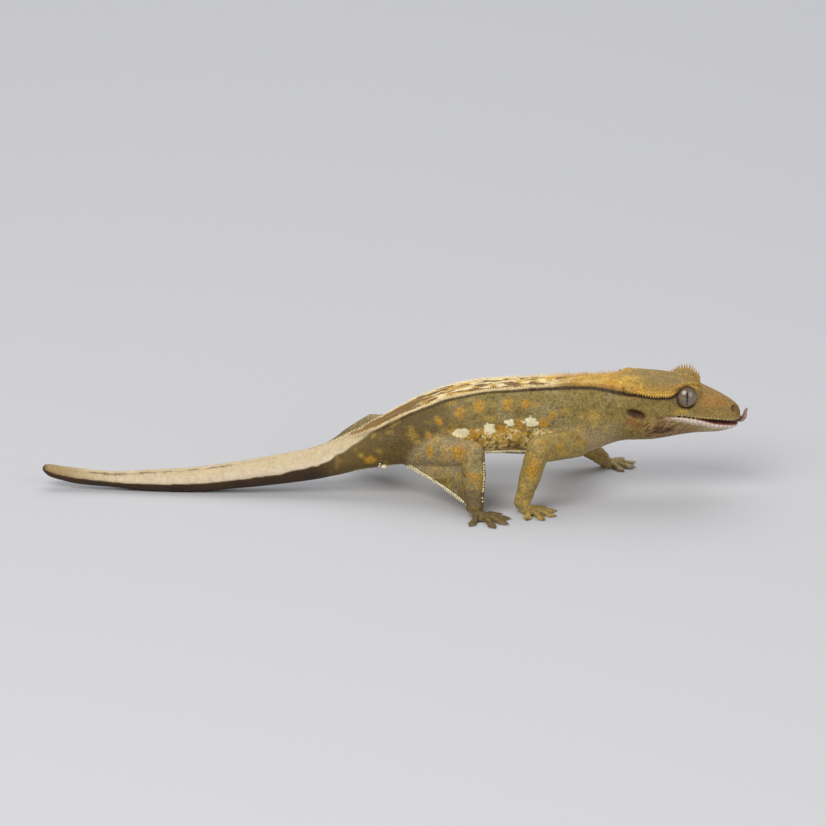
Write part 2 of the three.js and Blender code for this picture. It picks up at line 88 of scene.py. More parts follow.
# The trunk's outline: x, top, widest level, bottom, half width, centre y, squareness
TRUNK = [
    (-101.4, 5.9, 5.4, 4.9, 0.5, 3.25, 2.0),
    (-101.0, 6.5, 5.4, 4.4, 0.95, 3.2, 2.0),
    (-99.6, 6.8, 5.2, 3.3, 1.7, 3.05, 2.0),
    (-97.0, 6.5, 4.6, 2.5, 2.1, 2.7, 2.0),
    (-91.6, 6.0, 3.8, 1.4, 2.2, 2.0, 2.0),
    (-80.4, 5.4, 3.0, 0.7, 2.4, 0.8, 2.0),
    (-69.7, 6.2, 2.9, -0.2, 2.9, 0.0, 2.0),
    (-57.3, 7.1, 3.4, -0.2, 3.4, -0.6, 2.0),
    (-44.8, 8.9, 4.8, 1.1, 3.9, -1.0, 2.0),
    (-32.4, 11.1, 6.5, 2.4, 4.5, -0.8, 2.0),
    (-21.2, 13.4, 8.4, 3.9, 5.1, -0.4, 2.0),
    (-9.5, 18.1, 12.2, 6.6, 6.6, 0.0, 2.1),
    (-3.7, 21.3, 14.2, 7.6, 7.7, 0.0, 2.2),
    (5.7, 26.6, 17.4, 9.1, 9.4, 0.0, 2.3),
    (11.5, 29.0, 19.0, 10.2, 10.2, 0.0, 2.3),
    (18.1, 31.1, 20.2, 11.4, 10.8, 0.0, 2.3),
    (27.6, 32.5, 21.0, 12.2, 11.2, 0.0, 2.3),
    (37.0, 32.9, 21.2, 12.1, 10.9, 0.0, 2.3),
    (46.5, 33.4, 21.2, 11.4, 10.2, 0.0, 2.3),
    (54.8, 33.8, 22.0, 12.0, 8.9, 0.0, 2.3),
    (60.0, 34.6, 23.4, 13.6, 7.9, 0.0, 2.3),
    (64.0, 35.4, 24.6, 15.2, 7.7, 0.0, 2.4),
    (68.0, 36.2, 25.4, 16.1, 8.6, 0.0, 2.5),
    (73.2, 35.8, 25.8, 16.6, 9.5, 0.0, 2.6),
    (78.1, 35.3, 25.9, 17.2, 9.3, 0.0, 2.6),
    (83.2, 34.2, 25.6, 18.0, 8.2, 0.0, 2.6),
    (87.2, 32.5, 25.0, 18.3, 7.1, 0.0, 2.5),
    (90.7, 31.0, 24.3, 18.2, 6.0, 0.0, 2.4),
    (93.8, 29.5, 23.6, 18.3, 5.0, 0.0, 2.3),
    (96.7, 27.9, 23.1, 18.8, 3.9, 0.0, 2.2),
    (98.7, 26.3, 22.9, 19.7, 2.7, 0.0, 2.1),
    (99.6, 25.0, 22.8, 20.7, 1.6, 0.0, 2.0),
    (100.0, 23.6, 22.8, 22.0, 0.6, 0.0, 2.0),
]

# The two crest rows' distance from the midline: x, y
ROW_SPREAD = [
    (-30, 0.8), (-22, 1.0), (-15, 1.3), (-12, 1.7), (-9.5, 2.6), (-3.7, 4.0), (0, 4.7), (5.7, 5.2),
    (11, 5.4), (18, 5.4), (28, 5.0), (37, 4.5), (46, 4.1), (54.8, 4.0), (60, 4.6), (64, 5.6), (68, 7.2),
]

# The brow and cheek flap: x, distance from the midline, z, how far its spines lift in degrees, spine
# length, half width, half thickness
FLAP = [
    (87.8, 4.0, 32.1, 60, 0.7, 0.8, 0.55),
    (86.4, 5.5, 33.6, 66, 1.2, 1.1, 0.55),
    (84.3, 6.7, 34.6, 66, 1.4, 1.0, 0.5),
    (82.4, 7.7, 34.1, 58, 1.3, 0.8, 0.42),
    (81.2, 8.5, 32.9, 40, 1.0, 0.72, 0.38),
    (79.4, 9.0, 32.3, -4, 0.95, 0.75, 0.42),
    (76.5, 9.3, 32.4, -14, 1.0, 0.9, 0.5),
    (73.0, 9.2, 32.7, -14, 1.0, 1.0, 0.55),
    (69.0, 7.9, 33.0, 0, 1.05, 0.9, 0.5),
    (65.5, 6.2, 33.1, 28, 1.0, 0.45, 0.35),
]
FLAP_CORE = (0.55, 0.15)   # the flap's form lies this far in from its spiny edge, and below it

# The side view of the two lips, from the corner of the mouth to past the snout: x, z
UPPER_LIP = [
    (78.6, 25.85), (82.4, 25.6), (85.2, 25.0), (88, 24.3), (92.4, 23.4), (96, 22.6), (99.5, 22.15),
    (104, 22.3),
]
LOWER_LIP = [
    (78.6, 25.75), (82.4, 25.25), (85.2, 24.65), (88, 23.85), (92.4, 22.1), (96, 21.2), (98.8, 20.6),
    (104, 20.5),
]
MOUTH_CORNER = (78.6, 25.8)
GAP_END = 103.5   # the cut of the mouth ends past the snout
GAP_HALF = 14.0   # and is this wide on each side
LIP_EASE = 0.12   # the gap is cut this much wider, for the rounding of the lips

# The radii of a limb, across and up, from its root to its end
FRONT_RADII = [(3.6, 4.6), (3.4, 4.2), (3.4, 3.8), (3.1, 3.3), (2.3, 2.3)]
HIND_RADII = [(4.6, 5.8), (4.0, 4.9), (3.3, 3.7), (3.3, 3.9), (2.5, 2.6)]
# Toes, from the inner one to the outer one: degrees off the foot's heading, length
FRONT_TOES = [(72, 6.2), (36, 7.4), (2, 7.9), (-32, 7.6), (-68, 6.4)]
HIND_TOES = [(70, 6.4), (36, 8.0), (6, 9.0), (-24, 9.2), (-72, 7.2)]
# A limb's side, its foot's heading in degrees, its root, bend and end joint, its radii and its toes
Limb = namedtuple("Limb", "side heading joints radii toes")
LIMBS = {
    "front_right": Limb(-1, -28, np.array([(53.3, -6.5, 16.9), (41.5, -18, 18.2), (37.0, -19.5, 3.0)]),
                        FRONT_RADII, FRONT_TOES),
    "front_left": Limb(1, 22, np.array([(53.3, 6.5, 16.9), (48.5, 19, 13.4), (61, 20.5, 3.0)]),
                       FRONT_RADII, FRONT_TOES),
    "hind_right": Limb(-1, -42, np.array([(5, -4.5, 14.6), (23.0, -17, 16.6), (23.4, -24, 3.2)]),
                       HIND_RADII, HIND_TOES),
    "hind_left": Limb(1, 96, np.array([(4.5, 4.5, 14.6), (-6, 22, 12.2), (-17.5, 28, 3.3)]),
                      HIND_RADII, HIND_TOES),
}
FOOT_SIZE = 6.0   # the foot's mean reach round the palm

PALM = (2.5, 2.3, 1.5)
PALM_REACH, PALM_HEIGHT = 2.2, 0.75
WRIST = [(1.9, 1.9), (2.0, 1.6)]
# A toe, from the palm out: share of its length, height, half width, half thickness
TOE = [(0.15, 0.85, 0.85, 0.9), (0.45, 1.05, 0.7, 0.8), (0.68, 0.75, 0.9, 0.66), (0.85, 0.5, 1.35, 0.56),
       (0.98, 0.46, 0.8, 0.44)]
# The skin between two toes: half widths and half thicknesses, where it starts, its reach and tip height
TOE_WEB = [(1.3, 0.5), (1.1, 0.42), (0.8, 0.4)]
TOE_WEB_START, TOE_WEB_REACH, TOE_WEB_HEIGHT = 1.2, 0.42, 0.7
FLAT_END = (0.5, 1.0)   # the leans of the rings that close a flat tube
# How finely tubes are made: points round, rings along
LIMB_STEPS, WRIST_STEPS, TOE_STEPS, TOE_WEB_STEPS = (36, 24), (24, 6), (20, 24), (16, 8)
FLAP_STEPS, TONGUE_STEPS = (16, 64), (32, 90)
# The edge of the skin behind a bent knee, in shares of the thigh and shank and in millimetres
WEB_START, WEB_TURN, WEB_HEEL, WEB_LOW = (1.06, 4.8), (0.41, 0.66), 3.2, 0.97
WEB_OVERLAP, WEB_HALF = 0.5, 0.62

# The tongue: x, z, half its width and half its thickness
TONGUE = [
    (91.4, 23.05, 2.0, 0.22), (93.2, 22.55, 2.1, 0.28), (96, 21.9, 1.9, 0.36), (98.6, 21.45, 1.6, 0.45),
    (100.4, 21.6, 1.7, 0.6), (101.2, 22.5, 1.6, 0.62), (101.4, 23.6, 1.0, 0.5), (101.8, 24.7, 0.4, 0.32),
]


def ramp(start, end, value):
    """0 up to start and 1 from end on, with a smooth rise between them."""
    t = np.clip((np.asarray(value, float) - start) / (end - start), 0, 1)
    return t * t * (3 - 2 * t)


def hump(value, middle, reach, power=2):
    """1 at the middle, falling smoothly to 0 on both sides."""
    return np.exp(-((value - middle) / reach) ** power)


def unit(v):
    v = np.asarray(v, float)
    return v / np.maximum(np.linalg.norm(v, axis=-1, keepdims=True), 1e-12)


def circle(sides):
    """The cosines and sines of the corners of a regular polygon."""
    angle = 2 * math.pi * np.arange(sides) / sides
    return np.cos(angle), np.sin(angle)


def read_table(table, x):
    """A smooth curve through a table's rows, read at each x, as the other columns."""
    rows = np.array(sorted(table), float)
    x = np.asarray(x, float)
    last = len(rows) - 1
    i = np.clip(np.searchsorted(rows[:, 0], x, side="left") - 1, 0, last - 1)
    a, b = rows[i], rows[i + 1]
    before, after = rows[np.maximum(i - 1, 0)], rows[np.minimum(i + 2, last)]
    span = b[..., :1] - a[..., :1]
    t = np.clip((x[..., None] - a[..., :1]) / span, 0, 1)
    leaving = (b - before) / (b[..., :1] - before[..., :1]) * span
    arriving = (after - a) / (after[..., :1] - a[..., :1]) * span
    rise = b - a
    curve = a + t * (leaving + t * (3 * rise - 2 * leaving - arriving + t * (leaving + arriving - 2 * rise)))
    return np.moveaxis(curve[..., 1:], -1, 0)


def level_at(table, x):
    """The other column of a table of two columns, read at each x."""
    return read_table(table, x)[0]


def world(points):
    """Leans the head with the animal's roll and moves points to the shared frame, in metres."""
    p = np.array(points, float).reshape(-1, 3)
    roll = HEAD_ROLL * ramp(ROLL_FROM, ROLL_TO, p[:, 0]) * ramp(LEVEL_BELOW, LEANS_ABOVE, p[:, 2])
    y, z = p[:, 1].copy(), p[:, 2] - ROLL_HEIGHT
    p[:, 1] = y * np.cos(roll) - z * np.sin(roll) - ORIGIN[1]
    p[:, 2] = ROLL_HEIGHT + y * np.sin(roll) + z * np.cos(roll)
    p[:, 0] -= ORIGIN[0]
    return p * MM


HASH_STEPS, HASH_SEED, HASH_MIX = np.array([374761393, 668265263, 974634777]), 1274126177, 1103515245
LOW_32, LOW_24 = 0xFFFFFFFF, 0xFFFFFF


def value_noise(points, size, seed):
    """Smooth noise from 0 to 1 with features of the given size, a number or one for each axis."""
    q = np.asarray(points, float) / np.asarray(size, float) + 137.0
    cell = np.floor(q).astype(np.int64)
    f = q - cell
    f = f * f * (3 - 2 * f)
    total = np.zeros(len(q))
    for corner in range(8):
        step = np.array([corner & 1, corner >> 1 & 1, corner >> 2 & 1])
        h = ((cell + step) @ HASH_STEPS + seed * HASH_SEED) & LOW_32
        h = ((h ^ (h >> 13)) * HASH_MIX) & LOW_32
        h = ((h ^ (h >> 16)) & LOW_24) / LOW_24
        total += h * np.where(step == 1, f, 1 - f).prod(axis=1)
    return total


def trunk_at(x, other):
    """x and another value as arrays of one shape, and the trunk's outline there."""
    x, other = np.broadcast_arrays(np.asarray(x, float), np.asarray(other, float))
    return x, other, read_table(TRUNK, x)


def oval_width(share, square):
    """The width share of a squarish oval, at this share of its height."""
    return np.clip(1 - np.minimum(share, 1) ** square, 0, 1) ** (1 / square)


def trunk_point(x, angle):
    """The trunk's surface at x, at an angle counted from the animal's left side upwards."""
    x, angle, (top, middle, bottom, half, centre, square) = trunk_at(x, angle)
    across, up = (np.sign(v) * np.abs(v) ** (2 / square) for v in (np.cos(angle), np.sin(angle)))
    reach = np.where(up > 0, top - middle, middle - bottom)
    return np.stack([x, centre + half * across, middle + reach * up], axis=-1)


def trunk_top(x, y):
    """The trunk's top surface at x, at a signed distance y from its centre line."""
    x, y, (top, middle, _, half, centre, square) = trunk_at(x, y)
    return np.stack([x, centre + y, middle + (top - middle) * oval_width(np.abs(y) / half, square)], axis=-1)


def trunk_side(x, z, side):
    """The trunk's surface on one side, at x and height z."""
    x, z, (top, middle, bottom, half, centre, square) = trunk_at(x, z)
    up = np.abs(z - middle) / np.where(z > middle, top - middle, middle - bottom)
    return np.stack([x, centre + side * half * oval_width(up, square), z], axis=-1)


class Bag:
    """Points and faces of many closed forms, with a root for each form."""

    def __init__(self):
        self.points, self.faces, self.roots, self.sizes = [], [], [], []
        self.count = 0

    def add(self, points, faces, root=(0, 0, 0)):
        points = np.asarray(points, float)
        self.points.append(points)
        self.faces += [[self.count + i for i in face] for face in faces]
        self.roots.append(np.asarray(root, float))
        self.sizes.append(len(points))
        self.count += len(points)

    def rings(self, rings, root=(0, 0, 0), ends=None):
        """A closed form over rings of points, with a point at each end."""
        rings = np.asarray(rings, float)
        rows, around = rings.shape[:2]
        ends = ends or (rings[0].mean(axis=0), rings[-1].mean(axis=0))
        points = np.concatenate([rings.reshape(-1, 3), np.asarray(ends, float).reshape(-1, 3)])
        faces = []
        first, last = rows * around, rows * around + 1
        for j in range(around):
            k = (j + 1) % around
            for i in range(rows - 1):
                faces.append([i * around + j, i * around + k, (i + 1) * around + k, (i + 1) * around + j])
            end = (rows - 1) * around
            faces += [[first, k, j], [last, end + j, end + k]]
        self.add(points, faces, root)


def prism_faces(count):
    """The faces of a prism whose points are one outline and then the other."""
    faces = [list(range(count)), list(range(2 * count - 1, count - 1, -1))]
    return faces + [[i, i + count, (i + 1) % count + count, (i + 1) % count] for i in range(count)]


def new_object(name, points, faces):
    mesh = bpy.data.meshes.new(name)
    mesh.from_pydata([tuple(p) for p in points], [], faces)
    mesh.update()
    made = bpy.data.objects.new(name, mesh)
    bpy.context.collection.objects.link(made)
    return made


def turned_out(obj):
    """The object with all its faces turned outwards."""
    bm = bmesh.new()
    bm.from_mesh(obj.data)
    bmesh.ops.recalc_face_normals(bm, faces=bm.faces)
    bm.to_mesh(obj.data)
    bm.free()
    return obj


def applied(obj):
    """The object with its modifiers applied."""
    graph = bpy.context.evaluated_depsgraph_get()
    mesh = bpy.data.meshes.new_from_object(obj.evaluated_get(graph))
    obj.modifiers.clear()
    old, obj.data = obj.data, mesh
    bpy.data.meshes.remove(old)
    return obj


def removed(obj):
    mesh = obj.data
    bpy.data.objects.remove(obj)
    bpy.data.meshes.remove(mesh)


def finished(obj, material):
    """The object shaded smooth, in its material."""
    for polygon in obj.data.polygons:
        polygon.use_smooth = True
    obj.data.materials.append(material)
    return obj


def curve_point(points, t):
    """A centripetal Catmull-Rom curve through points, read at t from 0 to 1."""
    points = np.asarray(points, float)
    ends = len(points) - 1
    i = min(int(t * ends), ends - 1)
    w = t * ends - i
    b, c = points[i], points[i + 1]
    a = points[i - 1] if i > 0 else 2 * b - c
    d = points[i + 2] if i + 2 <= ends else 2 * c - b
    ab, bc, cd = (max(np.linalg.norm(q - p), 1e-4) ** 0.5 for p, q in ((a, b), (b, c), (c, d)))
    leave = ((b - a) / ab - (c - a) / (ab + bc) + (c - b) / bc) * bc
    arrive = ((c - b) / bc - (d - b) / (bc + cd) + (d - c) / cd) * bc
    return b + w * (leave + w * (3 * (c - b) - 2 * leave - arrive + w * (2 * (b - c) + leave + arrive)))


def tube_rings(points, radii, up, around, along, leans=(0.3, 0.6, 0.9, 1.2, 1.45)):
    """The rings of a round-ended tube along points, with radii across and up at each point."""
    up = np.asarray(up, float)
    radii = np.asarray(radii, float)
    cosines, sines = circle(around)

    def forward_at(t):
        near, far = max(t - 1e-3, 0), min(t + 1e-3, 1)
        return unit(curve_point(points, far) - curve_point(points, near))

    def radii_at(t):
        at = t * (len(radii) - 1)
        i = min(int(at), len(radii) - 2)
        return radii[i] + (radii[i + 1] - radii[i]) * ramp(0, 1, at - i)

    def ring(t, way=0, lean=0.0):
        forward, size = forward_at(t), radii_at(t)
        centre = curve_point(points, t) + forward * way * min(size) * math.sin(lean)
        size = size * math.cos(lean)
        side = unit(np.cross(up, forward))
        lift = np.cross(forward, side)
        return centre + size[0] * np.outer(cosines, side) + size[1] * np.outer(sines, lift)

    start = [ring(0, -1, lean) for lean in reversed(leans)]
    return start + [ring(i / along) for i in range(along + 1)] + [ring(1, 1, lean) for lean in leans]


def ball_rings(centre, radii, around=32):
    rows = around // 2
    lean = math.pi * np.arange(1, rows) / rows
    cosines, sines = circle(around)
    rings = np.stack([
        radii[0] * np.outer(np.sin(lean), cosines),
        radii[1] * np.outer(np.sin(lean), sines),
        radii[2] * np.outer(np.cos(lean), np.ones(around)),
    ], axis=-1)
    return rings + np.asarray(centre, float)


def loft(x_values, around):
    angle = 2 * math.pi * np.arange(around) / around
    return trunk_point(np.asarray(x_values)[:, None], angle[None, :])


def flap_points(side, inset=0.0, drop=0.0):
    return [np.array([x, side * (y - inset), z - drop]) for x, y, z, *_ in FLAP]


def knee_web(bag, root, bend, end):
    """The skin that spans the fold behind a bent knee; returns its free edge."""
    back = unit(root - bend)
    down = end - bend
    normal = unit(np.cross(back, down))
    across = np.cross(normal, back)
    reach = np.linalg.norm(root - bend)
    flat = np.array([down @ back, down @ across])
    start, turn, stop = np.array([
        (reach * WEB_START[0], WEB_START[1]), (reach * WEB_TURN[0], flat[1] * WEB_TURN[1]),
        (flat[0] + WEB_HEEL, flat[1] * WEB_LOW),
    ])

    def laid(p):
        return bend + p[0] * back + p[1] * across

    edge = [(1 - t) ** 2 * start + 2 * t * (1 - t) * turn + t * t * stop for t in np.linspace(0, 1, 25)]
    outline = [np.zeros(2), *edge, np.array([flat[0] - WEB_OVERLAP, flat[1] * WEB_LOW])]
    layers = [[laid(p) + normal * level for p in outline] for level in (-WEB_HALF, WEB_HALF)]
    bag.add(np.concatenate(layers), prism_faces(len(outline)))
    return np.array([laid(p) for p in edge])


def level_way(turn):
    """The level direction at an angle from +X."""
    return np.array([math.cos(turn), math.sin(turn), 0])


def at_height(point, z):
    return np.array([point[0], point[1], z])


def foot(bag, ankle, limb):
    """A hand or foot, flat on the floor, with padded toes; returns each toe's tip and direction."""
    forward = math.radians(limb.heading)
    middle = at_height(ankle + PALM_REACH * level_way(forward), PALM_HEIGHT)
    bag.rings(ball_rings(middle, PALM))
    bag.rings(tube_rings([ankle, middle * 0.6 + ankle * 0.4], WRIST, UP, *WRIST_STEPS))
    tips, bases = [], []
    for angle, length in limb.toes:
        turn = forward - limb.side * math.radians(angle)
        along = level_way(turn)
        route = [at_height(middle + along * length * share, z) for share, z, _, _ in TOE]
        bag.rings(tube_rings(route, [row[2:] for row in TOE], UP, *TOE_STEPS, FLAT_END))
        tips.append((middle + along * length, along))
        bases.append((turn, length))
    for (turn, length), (other, far) in zip(bases, bases[1:]):
        along = level_way((turn + other) / 2)
        root = at_height(middle + along * TOE_WEB_START, PALM_HEIGHT)
        tip = at_height(middle + along * (TOE_WEB_REACH * min(length, far)), TOE_WEB_HEIGHT)
        bag.rings(tube_rings([root, (root + tip) / 2, tip], TOE_WEB, UP, *TOE_WEB_STEPS, FLAT_END))
    return tips


def body_forms():
    """The trunk, limbs, flaps and brows as closed forms, the toes' tips and ways, and the webs' edges."""
    body = Bag()
    body.rings(loft(np.linspace(*TRUNK_SPAN, 300), 80))
    tips, edges = [], {}
    for name, limb in LIMBS.items():
        root, bend, end = limb.joints
        outwards = (0, limb.side, 0.25)
        body.rings(tube_rings([root, (root + bend) / 2, bend], limb.radii[:3], UP, *LIMB_STEPS))
        lower = [bend, bend * 0.55 + end * 0.45, end]
        body.rings(tube_rings(lower, limb.radii[2:], outwards, *LIMB_STEPS))
        tips += foot(body, end, limb)
        if name.startswith("hind"):
            edges[name] = knee_web(body, root, bend, end)
    flap_radii = [row[5:] for row in FLAP]
    for side in (1, -1):
        route = flap_points(side, *FLAP_CORE)
        body.rings(tube_rings(route, flap_radii, (0, side * -0.35, 1), *FLAP_STEPS))
        for (x, y, z), radii in (BROW, CREST_CORNER):
            body.rings(ball_rings((x, side * y, z), radii))
    return body, tips, edges


def mouth_wedge():
    """A prism over the open mouth's side view, right through the head."""
    xs = np.linspace(MOUTH_CORNER[0], GAP_END, 60)
    upper = level_at(UPPER_LIP, xs) + LIP_EASE
    lower = level_at(LOWER_LIP, xs) - LIP_EASE
    outline = list(zip(xs, upper)) + list(zip(xs[::-1], lower[::-1]))
    points = [(x, y, z) for y in (-GAP_HALF, GAP_HALF) for x, z in outline]
    return turned_out(new_object("mouth_wedge", np.array(points) * MM, prism_faces(len(outline))))


def cut_head():
    """The front of the head, with the gap of the open mouth."""
    bag = Bag()
    bag.rings(loft(np.concatenate([np.linspace(*HEAD_SPAN, 90), np.linspace(*SNOUT_SPAN, 14)]), 96))
    head = turned_out(new_object("head_form", bag.points[0] * MM, bag.faces))
    wedge = mouth_wedge()
    cut = head.modifiers.new("mouth", "BOOLEAN")
    cut.operation, cut.object, cut.solver = "DIFFERENCE", wedge, "EXACT"
    applied(head)
    removed(wedge)
    return head


def one_skin(body):
    """One closed surface over all the forms of the body and the head."""
    head = cut_head()
    made = turned_out(new_object("skin", np.concatenate(body.points) * MM, body.faces))
    bm = bmesh.new()
    bm.from_mesh(made.data)
    bm.from_mesh(head.data)
    bm.to_mesh(made.data)
    bm.free()
    removed(head)
    remesh = made.modifiers.new("one_skin", "REMESH")
    remesh.mode, remesh.voxel_size, remesh.adaptivity = "VOXEL", VOXEL * MM, 0
    return applied(made)


def read_array(items, key, width, kind=float):
    values = np.zeros(len(items) * width, dtype=kind)
    items.foreach_get(key, values)
    return values.reshape(-1, width)


def mesh_normals(mesh, points):
    """Vertex normals after the vertices move to points."""
    mesh.vertices.foreach_set("co", points.ravel())
    mesh.update()
    return read_array(mesh.vertices, "normal", 3)


def relaxed(points, edges, rounds, weight=1.0, steps=(0.55, -0.58)):
    """Evens out the points along edges, without the overall shrinking where steps hold two values."""
    count = len(points)
    degree = np.bincount(edges.ravel(), minlength=count)[:, None]
    weight = np.reshape(weight, (-1, 1))
    for _ in range(rounds):
        for step in steps:
            total = np.stack([
                np.bincount(edges[:, 0], points[edges[:, 1], axis], count)
                + np.bincount(edges[:, 1], points[edges[:, 0], axis], count)
                for axis in range(3)
            ], axis=-1)
            points = points + step * weight * (total / degree - points)
    return points


def mirrored(points):
    """The points with those of the right side brought to the left."""
    return np.stack([points[:, 0], np.abs(points[:, 1]), points[:, 2]], axis=1)


class Place:
    """Where points lie on the trunk and along the nearest limb.

    up and across are shares of the trunk's reach, out is how far out a point lies in them, and off is
    its distance in y from the trunk's centre line. limb is the nearest limb's number, along counts its
    segments, and near is the distance from its middle over its radius.
    """

    def __init__(self, points):
        self.points = points
        self.x, _, self.z = points.T
        top, middle, bottom, half, centre, square = read_table(TRUNK, self.x)
        self.off = points[:, 1] - centre
        self.up = (self.z - middle) / np.where(self.z > middle, top - middle, middle - bottom)
        self.across = self.off / half
        self.out = (np.abs(self.up) ** square + np.abs(self.across) ** square) ** (1 / square)
        self.row = level_at(ROW_SPREAD, self.x)
        self.near = np.full(len(points), 1e9)
        self.along = np.zeros(len(points))
        self.limb = np.zeros(len(points), dtype=int)
        for number, limb in enumerate(LIMBS.values()):
            self.measure_limb(number, limb)

    def measure_limb(self, number, limb):
        palm = limb.joints[-1] + PALM_REACH * (level_way(math.radians(limb.heading)) - UP)
        joints = [*limb.joints, palm]
        sizes = [*(np.mean(limb.radii[i]) for i in (0, 2, 4)), FOOT_SIZE]
        for i in range(3):
            a, b = joints[i], joints[i + 1]
            t = np.clip((self.points - a) @ (b - a) / ((b - a) @ (b - a)), 0, 1)
            gap = np.linalg.norm(self.points - a - t[:, None] * (b - a), axis=1)
            near = gap / (sizes[i] + (sizes[i + 1] - sizes[i]) * t)
            closer = near < self.near
            self.near = np.where(closer, near, self.near)
            self.along = np.where(closer, i + t, self.along)
            self.limb = np.where(closer, number, self.limb)


def blended(p, edges, at):
    """The limbs grow smoothly out of the body and bend roundly, and the brow runs on into the flap."""
    root = hump(at.out, 1.05, 0.22) * (at.along < 1.2) * ramp(1.7, 1.0, at.near) * (p[:, 0] < 66)
    p = relaxed(p, edges, 30, root, (0.5,))
    bend = hump(at.along, 1.0, 0.25) * (at.out > 1.15) * (at.near < 1.5)
    p = relaxed(p, edges, 10, bend, (0.4,))
    brow = hump(p[:, 0], 83.5, 4.0, 4) * ramp(30.8, 31.8, p[:, 2]) * ramp(2.0, 3.5, np.abs(p[:, 1]))
    return relaxed(p, edges, 14, brow, (0.5,))


# Soft swellings and hollows, alike on both sides: centre, reach, lift
FORMS = [
    ((74.6, 8.6, 21.8), (4.6, 5.0, 3.4), 0.50),
    ((92.4, 4.6, 26.2), (3.6, 3.0, 1.2), -0.38),
    ((93.0, 4.0, 28.9), (4.4, 1.4, 0.8), 0.22),
    ((80.0, 0.0, 34.8), (7.0, 3.2, 2.4), -0.55),
    ((68.0, 0.0, 36.0), (5.0, 2.6, 2.4), -0.35),
    ((78.6, 8.6, 29.6), (2.0, 3.0, 2.2), -0.30),
    ((96.4, 0.0, 28.0), (2.0, 1.2, 1.5), -0.18),
    ((66.0, 7.4, 19.6), (1.6, 4.0, 4.0), -0.45),
    ((62.0, 7.4, 18.0), (1.2, 4.0, 3.6), -0.28),
]


def swell(points, normals):
    lift = np.zeros(len(points))
    for centre, reach, height in FORMS:
        lift += height * np.exp(-(((mirrored(points) - centre) / reach) ** 2).sum(axis=1))
    return points + normals * lift[:, None]


def back_lift(p, at):
    """The crest rows stand on low ridges, and the back between them is a little hollow."""
    x = p[:, 0]
    row = level_at(ROW_SPREAD, x)
    fade = ramp(-26, -8, x) * ramp(70, 66, x) * (at.up > 0.2) * (at.out < 1.12)
    return (0.34 * hump(np.abs(at.off), row, 0.75) - 0.28 * hump(at.off, 0, 0.55 * row)) * fade


def fold_lift(p, at):
    """Folds and fine folds everywhere, and small creases across the limbs at their bends."""
    folds = value_noise(p, (5.0, 2.2, 2.2), 3) - 0.5
    fine_folds = value_noise(p, (1.5, 0.9, 0.9), 4) - 0.5
    bent_here = hump(at.along, 1.0, 0.22) + 0.8 * hump(at.along, 1.95, 0.12)
    crossing = np.sin(2 * math.pi * 11 * at.along + 7 * folds)
    lift = 0.30 * folds + 0.10 * fine_folds
    lift += 0.11 * crossing * bent_here * (at.near < 1.6) * ramp(1.1, 1.3, at.out)
    quiet = 1 - 0.75 * ramp(70, 80, p[:, 0])
    quiet *= 1 - 0.7 * ramp(-5, -30, p[:, 0])
    return lift * quiet * ramp(0.2, 1.4, p[:, 2])


def socket(points):
    """Draws the skin in round each eye, to a rim that meets the eyeball."""
    for side in (1, -1):
        centre = EYE_CENTRE * (1, side, 1)
        off = points - centre
        out = off[:, 1] * side
        round_share = np.hypot(off[:, 0] / EYE_OPENING[0], off[:, 2] / EYE_OPENING[1])
        rim_reach = np.hypot(off[:, 0], off[:, 2]) / np.maximum(round_share, 1e-3)
        rim = np.sqrt(np.clip(EYE_RADIUS ** 2 - rim_reach ** 2, 0.2, None)) + RIM_PROUD
        near = (out > -1.5) & (round_share < 2.2)
        inside = near & (round_share < 1)
        target = np.where(inside, rim - RIM_DEPTH, rim)
        pull = 1 - ramp(1.0, RIM_DRAW, round_share)
        drawn = np.where(inside, np.minimum(out, target), out + (target - out) * pull)
        drawn = np.where(near & ~inside & (drawn > out), out + (drawn - out) * 0.35, drawn)
        points[:, 1] = np.where(near, centre[1] + side * drawn, points[:, 1])
    return points


def pitted(points, normals, centre, reach, tilt, depth):
    """An oval pit on both sides of the head."""
    for side in (1, -1):
        off = points - centre * (1, side, 1)
        along = off[:, 0] * math.cos(tilt) + off[:, 2] * math.sin(tilt)
        over = -off[:, 0] * math.sin(tilt) + off[:, 2] * math.cos(tilt)
        share = (along / reach[0]) ** 2 + (over / reach[1]) ** 2 + (off[:, 1] / reach[2]) ** 2
        points = points - normals * (depth * np.exp(-share ** 1.5))[:, None]
    return points


def mouth_crease(p):
    """The depth of the closed mouth's line, which runs on behind its corner."""
    x, y, z = p.T
    back_level = MOUTH_CORNER[1] - 0.1 * np.clip(MOUTH_CORNER[0] - x, 0, 5)
    level = np.where(x < MOUTH_CORNER[0], back_level, level_at(UPPER_LIP, x))
    return 0.35 * hump(z, level, 0.3) * ramp(74.5, 76.5, x) * ramp(86, 83, x) * (np.abs(y) > 4)


def sculpted(mesh):
    """The skin's points in millimetres with all their forms, and their normals."""
    edges = read_array(mesh.edges, "vertices", 2, np.int64)
    p = relaxed(read_array(mesh.vertices, "co", 3) / MM, edges, 5)
    at = Place(p)
    p = blended(p, edges, at)
    p = swell(p, mesh_normals(mesh, p))
    p = p + mesh_normals(mesh, p) * (back_lift(p, at) + fold_lift(p, at))[:, None]
    p = socket(p)
    normals = mesh_normals(mesh, p)
    p = pitted(p, normals, *EAR_PIT)
    p = pitted(p, normals, *NOSTRIL_PIT)
    p = relaxed(p - normals * mouth_crease(p)[:, None], edges, 1)
    p[:, 2] = np.maximum(p[:, 2], 0)
    return p, mesh_normals(mesh, p)


def paint(red, green, blue):
    """A colour as the eye reads it, 0 to 255, turned to linear light."""
    c = np.array([red, green, blue]) / 255
    return np.where(c <= 0.04045, c / 12.92, ((c + 0.055) / 1.055) ** 2.4)


